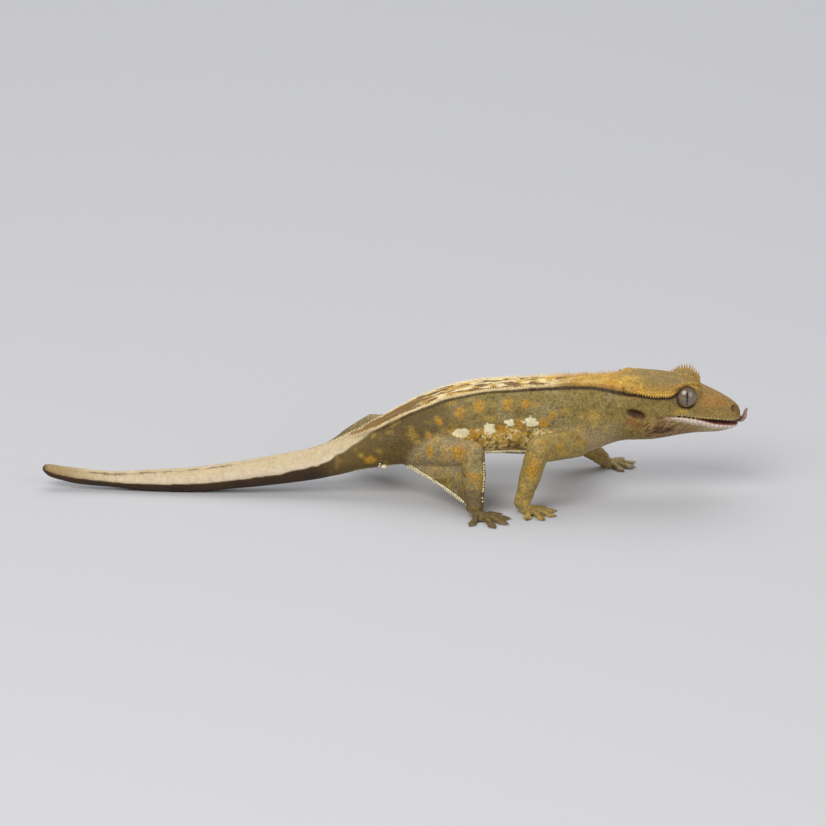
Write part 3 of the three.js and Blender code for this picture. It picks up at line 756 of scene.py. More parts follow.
OLIVE = paint(146, 126, 62)
OLIVE_GREY = paint(156, 139, 88)
OLIVE_DARK = paint(92, 72, 32)
REAR_OLIVE = paint(96, 74, 26)
THIGH_GREY = paint(164, 144, 106)
YELLOW = paint(214, 172, 66)
GOLD = paint(200, 146, 30)
ORANGE = paint(192, 134, 36)
CREAM = paint(240, 220, 168)
PALE_CREAM = paint(242, 230, 190)
BROWN = paint(120, 84, 32)
BACK_BROWN = paint(142, 106, 46)
DARK_BROWN = paint(58, 34, 14)
BELLY = paint(190, 170, 128)
CHEST_PALE = paint(188, 162, 118)
TAIL_CREAM = paint(208, 189, 150)
TAIL_PALE = paint(226, 208, 180)
TAIL_TAN = paint(188, 160, 118)
TAIL_END = paint(150, 122, 70)
HEAD_TAN = paint(168, 134, 70)
FLAP_GOLD = paint(206, 158, 56)
SNOUT_ORANGE = paint(184, 132, 62)
NAPE_ORANGE = paint(152, 96, 34)
CHIN_TAN = paint(160, 130, 82)
CHIN_BROWN = paint(108, 70, 28)
CHIN_PALE = paint(186, 164, 118)
JOWL_TAN = paint(158, 124, 70)
THROAT_BROWN = paint(76, 42, 10)
LIP_PALE = paint(214, 196, 176)
PINK_WHITE = paint(222, 204, 188)
MOUTH_PINK = paint(190, 122, 112)
# The mouth's lining deeper in, darkened as painted shade
MOUTH_PINK_SHADED = paint(146, 82, 72)
EAR_BROWN = paint(92, 48, 20)
SPINE_TAN = paint(176, 132, 72)
SPINE_BROWN = paint(120, 76, 40)
CLAW_BROWN = paint(96, 78, 52)
# Turns the flecks of the throat so that they run back and down
STREAK_TURN = np.array([[0.82, 0, -0.57], [0, 1, 0], [0.57, 0, 0.82]])

# Where the tail's cream side ends below, over a dark underside that is part dark brown skin and part painted
# shade: x, height share
TAIL_EDGE = [(-101, 0.0), (-60, -0.05), (-35, 0.02), (-26, 0.15), (-20, 0.26), (-15, 0.5), (-9.5, 0.74),
             (-4, 0.9), (2, 1.05)]
# Spots of the flank and the neck: x, z, reach
FLANK_SPOTS = [(13.2, 23.9, 1.5), (18.9, 26.4, 1.5), (25.0, 28.2, 1.7), (32.7, 28.9, 1.7), (38.0, 29.0, 1.4),
               (46.0, 26.0, 1.2), (10.0, 20.5, 1.2), (-6.4, 11.6, 1.7)]
NECK_SPOTS = [(49.7, 19.0, 2.4), (57.8, 24.4, 2.6), (53.2, 21.5, 1.8), (61.5, 21.0, 1.8)]
# The pale blotches of the flank, and the golden ones beside them: x, z, both reaches
FLANK_BLOTCHES = [(19.6, 20.9, 2.5, 1.2), (27.5, 22.5, 1.9, 1.4), (33.4, 23.9, 1.6, 1.05),
                  (39.7, 23.9, 2.3, 1.4)]
BLOTCH_SHADES = [(23.1, 20.8, 1.3, 1.7), (31.1, 22.3, 1.7, 1.4), (35.9, 23.5, 1.1, 1.5),
                 (43.0, 23.9, 1.7, 1.3)]
# Spots of the limbs: limb, segment and share along it, reach
LIMB_SPOTS = [("hind_right", 0, 0.35, 2.2), ("hind_right", 0, 0.8, 3.0), ("hind_right", 1, 0.42, 2.2),
              ("front_right", 0, 0.55, 2.0), ("front_right", 1, 0.35, 2.4), ("hind_left", 0, 0.4, 2.2),
              ("hind_left", 0, 0.85, 2.2), ("hind_left", 1, 0.5, 2.2), ("front_left", 0, 0.6, 2.0),
              ("front_left", 1, 0.4, 2.2)]


class MarkedPlace(Place):
    """A place with what the markings go by as well.

    coarse to tiny are noises of four sizes, rowed is the distance off the midline over that of the
    crest rows, and flap_gap and flap_drop are how far the nearer flap's edge is, and how far above.
    """

    def __init__(self, points, normals):
        super().__init__(points)
        self.normals = normals
        self.coarse, self.medium, self.small, self.tiny = (
            value_noise(points, size, seed) for size, seed in ((4.5, 11), (1.8, 12), (0.9, 13), (0.5, 14)))
        self.fleck = value_noise(points @ STREAK_TURN, (1.5, 0.8, 0.5), 31)
        self.fine_fleck = self.fleck + 0.4 * (self.tiny - 0.5)
        self.jitter = 1 + 0.7 * (self.medium - 0.5) + 0.5 * (self.small - 0.5)
        self.rowed = np.abs(self.off) / self.row
        self.back = ramp(1.25, 1.1, self.out) * (self.up > 0.1)
        self.back *= ramp(-30, -16, self.x) * ramp(76, 72, self.x)
        self.head = ramp(62, 70, self.x)
        self.upper_lip, self.lower_lip = level_at(UPPER_LIP, self.x), level_at(LOWER_LIP, self.x)
        edges = [flap_points(side) for side in (1, -1)]
        edge = np.array([curve_point(route, t) for route in edges for t in np.linspace(0, 1, 60)])
        away = np.stack([np.linalg.norm(points - corner, axis=1) for corner in edge], axis=1)
        self.flap_gap = away.min(axis=1)
        self.flap_drop = edge[away.argmin(axis=1), 2] - self.z

    def patch(self, place, reach, power=1):
        """1 at a place in the side view, falling to 0 round it."""
        away = ((self.x - place[0]) / reach[0]) ** 2 + ((self.z - place[1]) / reach[1]) ** 2
        return np.exp(-away ** power)


def layered(base, *layers):
    """The base colour with layers over it, each a colour and its share at each point."""
    for colour, share in layers:
        share = np.clip(share, 0, 1)[:, None]
        base = base * (1 - share) + colour * share
    return base


def ground(at):
    """Olive-grey with a fine grain, darker towards the hips."""
    return layered(
        OLIVE,
        (OLIVE_GREY, ramp(0.35, 0.75, at.coarse)),
        (OLIVE_DARK, (0.5 - 0.25 * ramp(20, 4, at.x)) * ramp(0.55, 0.85, at.small)),
        (REAR_OLIVE, 0.85 * ramp(26, 8, at.x)),
        (YELLOW, 0.35 * ramp(0.62, 0.9, at.medium)),
    )


def flank(colour, at):
    """Orange spots, pale blotches, a yellow network above the belly, and the pale breast and belly."""
    x, z, medium, small = at.x, at.z, at.medium, at.small
    trunk = ramp(1.25, 1.08, at.out) * ramp(-13, -8, x) * ramp(64, 58, x)
    sides = trunk * (np.abs(at.across) > 0.5)
    net = np.abs(value_noise(at.points, 2.0, 15) - 0.5) * 2
    low = sides * ramp(22.8, 21.4, z) * ramp(14, 20, x) * ramp(48, 42, x) * ramp(-0.9, -0.5, at.up)
    colour = layered(
        colour,
        (YELLOW, low * ramp(0.9, 0.4, net)),
        (ORANGE, 0.45 * low * ramp(0.6, 0.8, medium)),
        (CREAM, 0.9 * low * ramp(0.5, 0.66, at.tiny) * ramp(0.25, 0.45, at.coarse)),
        (OLIVE_DARK, 0.7 * low * ramp(0.62, 0.74, small)),
    )
    for spots, tint, strength, (far, close), (least, gain) in (
        (FLANK_SPOTS, GOLD, 0.85, (1.25, 0.35), (0.65, 0.5)),
        (NECK_SPOTS, YELLOW, 0.6, (1.3, 0.2), (0.5, 0.8)),
    ):
        for spot_x, spot_z, reach in spots:
            away = np.hypot(x - spot_x, z - spot_z) / (reach * at.jitter)
            share = strength * sides * ramp(far, close, away) * (least + gain * small)
            colour = layered(colour, (tint, share))
    ragged = 1 + 0.9 * (small - 0.5) + 0.5 * (at.tiny - 0.5)
    for blotches, tint, strength in ((BLOTCH_SHADES, GOLD, 0.8), (FLANK_BLOTCHES, PALE_CREAM, 1.0)):
        for spot_x, spot_z, wide, high in blotches:
            away = np.hypot((x - spot_x) / wide, (z - spot_z) / high) / ragged
            colour = layered(colour, (tint, strength * sides * ramp(1.1, 0.8, away)))
    breast = ramp(1.25, 1.08, at.out) * ramp(45, 52, x) * ramp(68, 62, x)
    breast *= ramp(25.5, 17.5, z + 3.5 * (at.coarse - 0.5))
    return layered(
        colour,
        (CHEST_PALE, 0.85 * breast * (0.6 + 0.6 * medium)),
        (BELLY, trunk * ramp(-0.72, -0.95, at.up)),
    )


def back(colour, at):
    """Two cream rows, and broken brown blotches between them."""
    x, medium, small = at.x, at.medium, at.small
    bend_x = value_noise(at.points, (2.4, 1.6, 9), 41) - 0.5
    bend_y = value_noise(at.points, (1.7, 1.3, 9), 42) - 0.5
    bent = np.stack([x + 0.45 * at.off + 3.2 * bend_x, at.off + 1.9 * bend_y, np.zeros(len(x))], axis=1)
    blotch = value_noise(bent, (3.1, 1.05, 9), 21) + 0.3 * (small - 0.5)
    band = layered(
        CREAM,
        (YELLOW, ramp(0.4, 0.7, medium)),
        (GOLD, ramp(42, 56, x) * ramp(0.25, 0.55, at.coarse)),
        (GOLD, 0.7 * ramp(0.45, 0.58, blotch) * ramp(60, 50, x)),
        (BACK_BROWN, 0.9 * ramp(0.5, 0.6, blotch) * ramp(58, 48, x)),
        (BROWN, 0.6 * ramp(0.62, 0.75, blotch) * ramp(56, 46, x)),
        (BACK_BROWN, 0.95 * ramp(0.9, 0.72, at.rowed + 0.3 * (small - 0.5)) * ramp(12, 4, x)),
        (YELLOW, 0.9 * ramp(46, 56, x)),
        (GOLD, 0.7 * ramp(46, 56, x) * ramp(0.4, 0.65, medium)),
    )
    row = layered(CREAM, (GOLD, ramp(40, 54, x) * (0.55 + 0.5 * medium)))
    return layered(
        colour,
        (band, at.back * ramp(1.0, 0.85, at.rowed)),
        (row, at.back * hump(np.abs(at.off), at.row, 0.5, 4) * ramp(70, 66, x)),
    )


def row_line_and_shadow(at):
    """The share of the dark line below each crest row: part brown pigment, part painted shadow under the
    row's fringe.
    """
    x, side_off = at.x, np.abs(at.off)
    thick = 0.42 + 0.16 * ramp(20, 55, x)
    below = np.hypot(side_off - at.row, at.z - trunk_top(x, at.row)[:, 2])
    line = at.back * hump(below, 0.5 + thick, thick, 4) * (side_off > at.row) * ramp(-14, -2, x)
    return line * (0.6 + 0.38 * ramp(10, 40, x)) * ramp(67, 65, x) * (0.88 + 0.3 * (at.small - 0.3))


def tail(colour, at):
    """Cream sides with faint rings, a broken brown line above, and dark beneath: part dark brown skin, part
    painted shade.
    """
    x, up, medium, small = at.x, at.up, at.medium, at.small
    share = ramp(1, -8, x) * ramp(1.4, 1.2, at.out)
    rings = 0.5 + 0.5 * np.sin(2 * math.pi * (x + 0.25 * (medium - 0.5)) / TAIL_RING)
    broken = (0.35 + 0.65 * ramp(0.4, 0.55, value_noise(at.points, (2.4, 9, 9), 23))) * ramp(-96, -88, x)
    line = hump(np.abs(at.off), 1.35 + 0.5 * (small - 0.5), 0.12 + 0.34 * medium)
    line *= broken * (0.5 + 0.5 * at.tiny) * ramp(-28, -34, x)
    sides = layered(
        TAIL_CREAM,
        (TAIL_TAN, 0.35 * rings + 0.3 * (at.coarse - 0.4)),
        (TAIL_PALE, 0.7 * hump(up, 0.25, 0.35) * ramp(-90, -70, x)),
        (DARK_BROWN, 0.9 * line * (up > 0)),
        (TAIL_END, 0.85 * ramp(-84, -99, x)),
        (DARK_BROWN, 0.8 * ramp(-99.6, -101, x + 0.8 * (small - 0.5))),
    )
    # The dark underside: part dark brown skin, part painted shade below the tail's widest level.
    dark = layered(DARK_BROWN * 0.6, (BROWN, 0.2 * at.coarse), (OLIVE_DARK, ramp(-24, -12, x)))
    edge = level_at(TAIL_EDGE, x) + 0.12 * (medium - 0.5)
    above = ramp(edge - 0.06, edge + 0.06, up)
    wedge = ramp(1.0, 0.8, at.rowed) * ramp(-13, -12, x + 1.4 * (small - 0.5)) * (up > 0.3)
    return layered(
        colour,
        (dark, share * (1 - above) * ramp(-10, -22, x)),
        (sides, share * above * (1 - wedge)),
    )


def limbs(colour, at):
    """Grey-olive with orange spots, painted shade low on the hind legs, paler under the feet."""
    small, hind = at.small, at.limb > 1
    legs = layered(
        OLIVE_GREY * 0.97,
        (OLIVE_DARK, 0.5 * ramp(0.5, 0.8, small)),
        (THIGH_GREY, 0.6 * hind * ramp(1.3, 0.8, at.along)),
        (YELLOW, 0.35 * ramp(0.5, 0.8, at.medium) + 0.25 * ~hind),
    )
    for name, segment, share, reach in LIMB_SPOTS:
        limb = LIMBS[name]
        centre = limb.joints[segment] * (1 - share) + limb.joints[segment + 1] * share
        outer_side = centre + (0, limb.side * 3.0, 0.6)
        away = np.linalg.norm(at.points - outer_side, axis=1) / (reach * at.jitter)
        legs = layered(legs, (GOLD, 0.85 * ramp(1.2, 0.4, away) * (0.6 + 0.6 * small)))
    legs = layered(
        legs,
        # Painted shade: the hind legs darken towards the floor.
        (OLIVE_DARK, 0.65 * ramp(12, 5, at.z) * hind),
        (BELLY, 0.8 * ramp(0.1, -0.7, at.normals[:, 2]) * ramp(3.5, 1.0, at.z)),
    )
    return layered(colour, (legs, ramp(1.02, 1.2, at.out) * (at.near < 1.9) * (at.x < 70)))


def face(at):
    """The tan head with its golden crown, the marks of the cheek and snout, and the upper lip's edge."""
    x, z, coarse, medium, small = at.x, at.z, at.coarse, at.medium, at.small
    top = at.head * ramp(0.35, 0.6, at.up)
    crown = layered(YELLOW, (FLAP_GOLD, ramp(0.4, 0.65, medium)), (OLIVE, 0.5 * ramp(0.55, 0.75, small)))
    crown_share = ramp(75, 67, x + 4 * (coarse - 0.5)) * ramp(0.45, 0.7, at.up)
    crown_share *= ramp(0.8, 3.4, np.abs(at.off) + 5 * (coarse - 0.5))
    stripe = hump(z + 0.42 * (x - 89), 30.2, 0.6) * ramp(86.5, 88.5, x) * ramp(97, 94, x)
    return layered(
        OLIVE * 1.02,
        (OLIVE_DARK, 0.45 * ramp(0.5, 0.8, small)),
        (HEAD_TAN, np.maximum(0.8 * top, 0.85 * ramp(84, 91, x))),
        (OLIVE, 0.8 * top * ramp(0.4, 0.6, medium) * ramp(86, 80, x)),
        (crown, crown_share),
        (SNOUT_ORANGE, 0.8 * at.patch((91.5, 28), (3.2, 1.5))),
        (YELLOW, 0.8 * at.patch((82.5, 26.9), (2.4, 0.9))),
        (SNOUT_ORANGE, 0.7 * stripe),
        (OLIVE, 0.55 * hump(z, 25.9, 0.8) * ramp(84, 87, x)),
        (BROWN, 0.55 * ramp(98.0, 99.4, x) * ramp(22.5, 24, z)),
        (OLIVE_GREY * 1.15, 0.7 * ramp(79, 82, x) * hump(z - at.upper_lip, 0.5, 0.55)),
    )


def throat(colour, at):
    """The streaked chin and jowl, and the pale lower lip."""
    x, small, under_lip = at.x, at.small, at.z - at.lower_lip
    white = ramp(-2.1, -1.3, under_lip - 0.7 * ramp(86, 79, x) + 0.5 * (small - 0.5))
    chin = layered(
        CHIN_TAN,
        (CHIN_BROWN, 0.7 * ramp(0.45, 0.7, at.fine_fleck) * ramp(90, 82, x)),
        (CHIN_PALE, ramp(85, 91, x)),
        (LIP_PALE, white * ramp(77, 82, x + 1.5 * (small - 0.5))),
    )
    jowl = at.patch((74.2, 22.0), (4.2, 2.9), 2)
    fold = at.patch((77.6, 21.6), (3.4, 1.1), 2) * (0.5 + small)
    return layered(
        colour,
        (chin, at.head * ramp(0.15, -0.05, under_lip) * ramp(72, 77, x)),
        (JOWL_TAN, 0.6 * jowl),
        (THROAT_BROWN, 0.78 * jowl * ramp(0.42, 0.66, at.fine_fleck)),
        (THROAT_BROWN, 0.9 * fold),
        (BELLY, 0.8 * ramp(-0.75, -0.98, at.up) * ramp(88, 80, x)),
    )


def flap(colour, at):
    """The golden brow and flap, and the flecks on the side of the nape."""
    fleck = 0.45 * ramp(0.6, 0.8, at.small)
    gold = layered(FLAP_GOLD, (YELLOW, ramp(0.35, 0.65, at.medium)), (BROWN, fleck))
    band = hump(at.flap_gap, 0, 1.4 + 1.2 * ramp(84, 80, at.x), 4) * ramp(0.35, 0.05, at.flap_drop)
    nape = at.patch((67.5, 24.0), (5.0, 2.4)) * ramp(0.4, 0.6, at.fleck)
    return layered(colour, (gold, 0.92 * band), (NAPE_ORANGE, 0.8 * nape))


def flap_line_and_shadow(at):
    """The share of the dark line below the flap: part brown pigment, part painted shadow under the flap's
    edge.
    """
    line = ramp(0.1, 0.4, at.flap_drop) * ramp(1.8, 1.25, at.flap_drop) * ramp(2.9, 2.3, at.flap_gap)
    return line * ramp(82.6, 81.4, at.x) * ramp(63.5, 65, at.x)


def openings(colour, at):
    """The dark rim of the eye, the ear, the nostril and the inside of the mouth, which darkens deeper in as
    painted shade.
    """
    x, z, folded = at.x, at.z, mirrored(at.points)
    rim = np.hypot((x - EYE_CENTRE[0]) / EYE_OPENING[0], (z - EYE_CENTRE[2]) / EYE_OPENING[1])
    rim = ramp(1.28, 1.02, rim) * (folded[:, 1] > 3.5) * (x > 78) * (z > 26.5)
    rim *= ramp(EYE_RADIUS + 1.1, EYE_RADIUS + 0.5, np.linalg.norm(folded - EYE_CENTRE, axis=1))
    rim *= np.maximum(ramp(0.7, 1.4, at.flap_gap), ramp(0.1, 0.5, at.flap_drop))
    off = folded - EAR_CENTRE
    tilted = np.stack([off[:, 0] - 0.25 * off[:, 2], off[:, 1], off[:, 2] + 0.25 * off[:, 0]], axis=1)
    ear = ((tilted / (2.9, 3.0, 1.25)) ** 2).sum(axis=1)
    nostril = np.linalg.norm((folded - NOSTRIL_CENTRE) / (1.25, 1.8, 1.1), axis=1)
    inside = (x > 80) * (at.out < 0.95) * (np.abs(at.up) < 0.8)
    inside = inside * (z < at.upper_lip + 0.25) * (z > at.lower_lip - 0.25)
    return layered(
        colour,
        (DARK_BROWN, 0.85 * rim),
        (EAR_BROWN, 0.9 * ramp(1.35, 0.8, ear)),
        # Painted shade: the near-black depth of the ear opening.
        (DARK_BROWN * 0.35, 0.9 * ramp(0.6, 0.25, ear)),
        (EAR_BROWN, 0.55 * ramp(1.15, 0.85, nostril)),
        # Painted shade: the near-black depth of the nostril.
        (DARK_BROWN * 0.2, ramp(0.8, 0.55, nostril)),
        # Painted shade: the mouth's pink lining darkens deeper in.
        (layered(MOUTH_PINK, (MOUTH_PINK_SHADED, ramp(0.93, 0.6, at.out))), inside.astype(float)),
    )


def markings(points, normals):
    """The animal's colour at points, in linear light."""
    at = MarkedPlace(points, normals)
    colour = ground(at)
    for part in (flank, back, tail, limbs):
        colour = part(colour, at)
    head = flap(throat(face(at), at), at)
    # The dark lines below the crest rows and the flap: brown pigment and painted shadow.
    lines_and_shadows = np.maximum(row_line_and_shadow(at), 0.96 * flap_line_and_shadow(at))
    return openings(layered(colour, (head, at.head), (DARK_BROWN, lines_and_shadows)), at)


def set_colour(mesh, colours):
    attribute = mesh.attributes.new("Markings", "FLOAT_COLOR", "POINT")
    data = np.concatenate([np.clip(colours, 0, 1), np.ones((len(colours), 1))], axis=1)
    attribute.data.foreach_set("color", data.ravel())


def painted(mesh, points, normals):
    """Keeps the skin's markings and how far a point is on the ringed tail."""
    set_colour(mesh, markings(points, normals))
    on_tail = ramp(2, -12, points[:, 0]) * (Place(points).out < 1.3)
    mesh.attributes.new("Tail", "FLOAT", "POINT").data.foreach_set("value", on_tail)


body, toe_tips, web_edges = body_forms()
skin = one_skin(body)
skin_points, skin_normals = sculpted(skin.data)
painted(skin.data, skin_points, skin_normals)
skin_faces = [list(face.vertices) for face in skin.data.polygons]
skin_tree = BVHTree.FromPolygons([Vector(p) for p in skin_points], skin_faces)


class Shader:
    """A node material with short ways to make and join nodes."""

    def __init__(self, name):
        self.material = bpy.data.materials.new(name)
        self.material.use_nodes = True
        self.tree = self.material.node_tree
        self.surface = self.tree.nodes["Principled BSDF"]

    def node(self, kind, inputs=None, **settings):
        made = self.tree.nodes.new("ShaderNode" + kind)
        for key, value in settings.items():
            setattr(made, key, value)
        for key, value in (inputs or {}).items():
            self.give(made.inputs[key], value)
        return made

    def give(self, socket_in, value):
        if isinstance(value, bpy.types.NodeSocket):
            self.tree.links.new(value, socket_in)
        else:
            socket_in.default_value = value

    def attribute(self, name, output="Color"):
        return self.node("Attribute", attribute_name=name).outputs[output]

    def place(self):
        return self.node("TexCoord").outputs["Object"]

    def noise(self, vector, scale, detail, roughness=0.5):
        inputs = {"Vector": vector, "Scale": scale, "Detail": detail, "Roughness": roughness}
        return self.node("TexNoise", inputs).outputs

    def cells(self, vector, scale, **settings):
        return self.node("TexVoronoi", {"Vector": vector, "Scale": scale}, **settings).outputs

    def math(self, operation, *values):
        return self.node("Math", dict(enumerate(values)), operation=operation).outputs[0]

    def less(self, start, drop, value):
        """start, less drop times the value."""
        return self.math("SUBTRACT", start, self.math("MULTIPLY", value, drop))

    def mix(self, share, a, b, blend="MIX"):
        made = self.node("Mix", {0: share, 6: a, 7: b}, data_type="RGBA", blend_type=blend)
        return made.outputs[2]

    def warped(self, share, vector, noise):
        """The vector, moved a share of the way to the noise's colour."""
        return self.node("Mix", {0: share, 4: vector, 5: noise["Color"]}, data_type="VECTOR").outputs[1]

    def shaded(self, share, colour, level, dark, pale):
        """The colour, multiplied in part by what lies between dark and pale."""
        return self.mix(share, colour, self.mix(level, (*dark, 1), (*pale, 1)), "MULTIPLY")

    def between(self, value, low, high, to_low=0.0, to_high=1.0):
        ends = {"From Min": low, "From Max": high, "To Min": to_low, "To Max": to_high}
        return self.node("MapRange", {"Value": value, **ends}, clamp=True).outputs[0]

    def bump(self, strength, depth, height, normal=None):
        """A bump of this depth in metres, over another one where its normal is given."""
        made = self.node("Bump", {"Strength": strength, "Distance": depth, "Height": height})
        if normal is not None:
            self.give(made.inputs["Normal"], normal)
        return made.outputs[0]

    def finish(self, **values):
        names = dict(colour="Base Color", roughness="Roughness", normal="Normal", coat="Coat Weight",
                     coat_roughness="Coat Roughness", specular="Specular IOR Level")
        for key, value in values.items():
            self.give(self.surface.inputs[names[key]], value)
        return self.material


def rgb(red, green, blue):
    return (*paint(red, green, blue), 1.0)


def skin_material():
    """Granular skin: small domed scales, finer grain and a dry, slightly waxy finish."""
    s = Shader("gecko_skin")
    place = s.place()
    colour = s.attribute("Markings")
    tail_share = s.attribute("Tail", "Fac")
    moved = s.warped(0.18 * MM, place, s.noise(place, 900.0, 2.0))
    scales = s.cells(moved, 2100.0)
    tone = s.noise(place, 1500.0, 3.0, 0.7)["Fac"]
    mottle = s.noise(place, 420.0, 4.0, 0.65)["Fac"]
    cell = s.node("SeparateColor", {"Color": scales["Color"]}).outputs[0]
    lightness = s.node("SeparateColor", {"Color": colour}).outputs[1]
    calm = s.math("MAXIMUM", s.between(lightness, 0.35, 0.75), tail_share)
    grain = s.between(tone, 0.34, 0.66)
    colour = s.shaded(s.less(0.46, 0.3, calm), colour, grain, (0.42, 0.40, 0.36), (1.45, 1.45, 1.5))
    colour = s.shaded(s.less(0.32, 0.2, calm), colour, cell, (0.62, 0.6, 0.56), (1.3, 1.32, 1.36))
    colour = s.shaded(0.3, colour, s.between(mottle, 0.35, 0.65), (0.7, 0.68, 0.62), (1.22, 1.22, 1.2))
    edge = s.math("MULTIPLY", s.between(scales["Distance"], 0.25, 0.62), s.less(0.42, 0.3, calm))
    colour = s.mix(edge, colour, (0.35, 0.32, 0.28, 1), "MULTIPLY")
    along = s.node("SeparateXYZ", {"Vector": moved}).outputs["X"]
    rings = s.math("SINE", s.math("MULTIPLY", along, 2 * math.pi / (TAIL_RING * MM)))
    dome = s.math("SUBTRACT", 1.0, s.math("POWER", s.between(scales["Distance"], 0.0, 0.75), 2.0))
    dome = s.math("MULTIPLY", dome, s.less(1.0, 0.55, tail_share))
    height = s.math("ADD", dome, s.math("MULTIPLY", s.math("MULTIPLY", rings, tail_share), 0.4))
    soft = s.bump(0.35, 0.35 * MM, mottle, s.bump(0.65, 0.11 * MM, height))
    rough = s.between(tone, 0.3, 0.7, 0.5, 0.72)
    return s.finish(colour=colour, roughness=rough, normal=soft, specular=0.38)


def scale_material():
    """The enlarged scales and spines, in their own markings, with a slight grain."""
    s = Shader("enlarged_scales")
    tone = s.noise(s.place(), 1300.0, 3.0)["Fac"]
    level = s.between(tone, 0.35, 0.65)
    colour = s.shaded(0.4, s.attribute("Markings"), level, (0.6, 0.56, 0.5), (1.25, 1.25, 1.25))
    return s.finish(colour=colour, roughness=0.5, normal=s.bump(0.35, 0.06 * MM, tone), specular=0.4)


def eye_material():
    """A pale, veined iris with an upright crenated slit, under a wet clear surface."""
    s = Shader("gecko_eye")
    gaze = s.attribute("Gaze", "Vector")
    parts = s.node("SeparateXYZ", {"Vector": gaze}).outputs
    u, v = parts["X"], parts["Z"]
    taper = s.math("POWER", s.math("DIVIDE", s.math("ABSOLUTE", v), 0.7), 3.0)
    width = s.math("MULTIPLY", s.math("SUBTRACT", 1.0, taper), 0.085)
    wave = s.math("SINE", s.math("MULTIPLY", v, 21.0))
    width = s.math("ADD", width, s.math("MULTIPLY", wave, 0.018))
    slit = s.between(s.math("SUBTRACT", width, s.math("ABSOLUTE", u)), -0.012, 0.012)
    bent = s.warped(0.22, gaze, s.noise(gaze, 4.0, 3.0))
    veins = s.cells(bent, 7.0, feature="DISTANCE_TO_EDGE")["Distance"]
    fine = s.noise(gaze, 16.0, 5.0, 0.7)["Fac"]
    iris = s.mix(s.between(fine, 0.3, 0.7), rgb(80, 62, 44), rgb(146, 128, 104))
    iris = s.mix(s.math("MULTIPLY", s.between(veins, 0.09, 0.0), 0.75), iris, rgb(76, 46, 36))
    radius = s.math("SQRT", s.math("ADD", s.math("MULTIPLY", u, u), s.math("MULTIPLY", v, v)))
    iris = s.mix(s.between(radius, 0.72, 0.98), iris, rgb(52, 34, 26))
    return s.finish(colour=s.mix(slit, iris, (0.003, 0.002, 0.002, 1)), roughness=0.22, coat=1.0,
                    coat_roughness=0.03, specular=0.5)


def tongue_material():
    """Moist flesh with fine papillae."""
    s = Shader("gecko_tongue")
    place = s.place()
    tone = s.noise(place, 700.0, 3.0)["Fac"]
    flesh = s.mix(s.between(tone, 0.3, 0.7), rgb(108, 72, 66), rgb(152, 108, 98))
    papillae = s.bump(0.5, 0.06 * MM, s.cells(place, 3600.0)["Distance"])
    return s.finish(colour=flesh, roughness=0.35, normal=papillae, coat=0.3, coat_roughness=0.15)


def floor_material():
    return Shader("pale_floor").finish(colour=rgb(194, 194, 196), roughness=0.85, specular=0.15)


def seat(point):
    """The nearest place on the skin, and its outward normal, in millimetres."""
    place, normal, _, _ = skin_tree.find_nearest(Vector(point))
    return np.array(place), np.array(normal)


def add_spine(bag, root, direction, length, radius, lean=(0, 0, 0), sides=6):
    """A pointed, slightly hooked scale, its root sunk in the skin."""
    direction = unit(direction)
    side = unit(np.cross(UP if abs(direction[2]) < 0.9 else (1, 0, 0), direction))
    lift = np.cross(direction, side)
    lean = np.asarray(lean, float)
    cosines, sines = circle(sides)
    rings = []
    for share, size in ((-0.3, 1.0), (0.08, 1.0), (0.38, 0.74), (0.72, 0.36)):
        centre = root + direction * length * share + lean * length * max(share, 0) ** 2
        rings.append(centre + radius * size * (np.outer(cosines, side) + np.outer(sines, lift)))
    tip = root + direction * length + lean * length
    bag.rings(rings, root, (rings[0].mean(axis=0), tip))


def add_dome(bag, root, normal, forward, half_length, half_width, rise):
    """A low domed scale lying on the skin, with a rounded square outline."""
    normal = unit(normal)
    forward = unit(forward - normal * (np.asarray(forward) @ normal))
    side = np.cross(normal, forward)
    ahead, across = (np.sign(wave) * np.abs(wave) ** 0.75 for wave in circle(10))
    rings = []
    for level, size in ((-0.25, 1.0), (0.35, 1.0), (0.75, 0.8), (0.95, 0.45)):
        rings.append(root + normal * rise * level
                     + size * (half_length * np.outer(ahead, forward) + half_width * np.outer(across, side)))
    bag.rings(rings, root, (rings[0].mean(axis=0), root + normal * rise))


# The map OFBake: the x where it starts, its length, the share of it that goes round, half a form's patch
MAP_START, MAP_LENGTH, MAP_ROUND, HALF_PATCH = -102, 206, 0.98, 0.0015


def unwrapped(roots):
    """The roots' places on an unwrap of the skin: along the body, and round it."""
    at = Place(np.array(roots))
    turn = np.arctan2(at.across, -at.up) / (2 * math.pi)
    return np.stack([(at.x - MAP_START) / MAP_LENGTH, 0.5 + MAP_ROUND * turn], axis=1)


def coat_piece(name, bag, colours, finish):
    """One joined piece of many small forms, painted and with a small patch each on the map OFBake."""
    points = np.concatenate(bag.points)
    made = turned_out(new_object(name, world(points), bag.faces))
    set_colour(made.data, np.repeat(colours, bag.sizes, axis=0))
    spots = []
    for form, root, place in zip(bag.points, bag.roots, unwrapped(bag.roots)):
        local = form - root
        spots.append(place + HALF_PATCH * local[:, :2] / max(np.abs(local).max(), 1e-6))
    corner = read_array(made.data.loops, "vertex_index", 1, np.int64)[:, 0]
    spread = np.clip(np.concatenate(spots)[corner], 0, 1)
    made.data.uv_layers.new(name="OFBake").data.foreach_set("uv", spread.ravel())
    return finished(made, finish)


rng = np.random.default_rng(SEED)


def form_colours(bag):
    roots = np.array(bag.roots)
    return markings(roots, np.tile(UP, (len(roots), 1)))


def walk(route):
    """A route's length, and the way to read its point at a distance."""
    route = np.asarray(route)
    walked = np.concatenate([[0], np.cumsum(np.linalg.norm(np.diff(route, axis=0), axis=1))])

    def point_at(distance):
        return np.array([np.interp(distance, walked, route[:, axis]) for axis in range(3)])

    return walked[-1], point_at


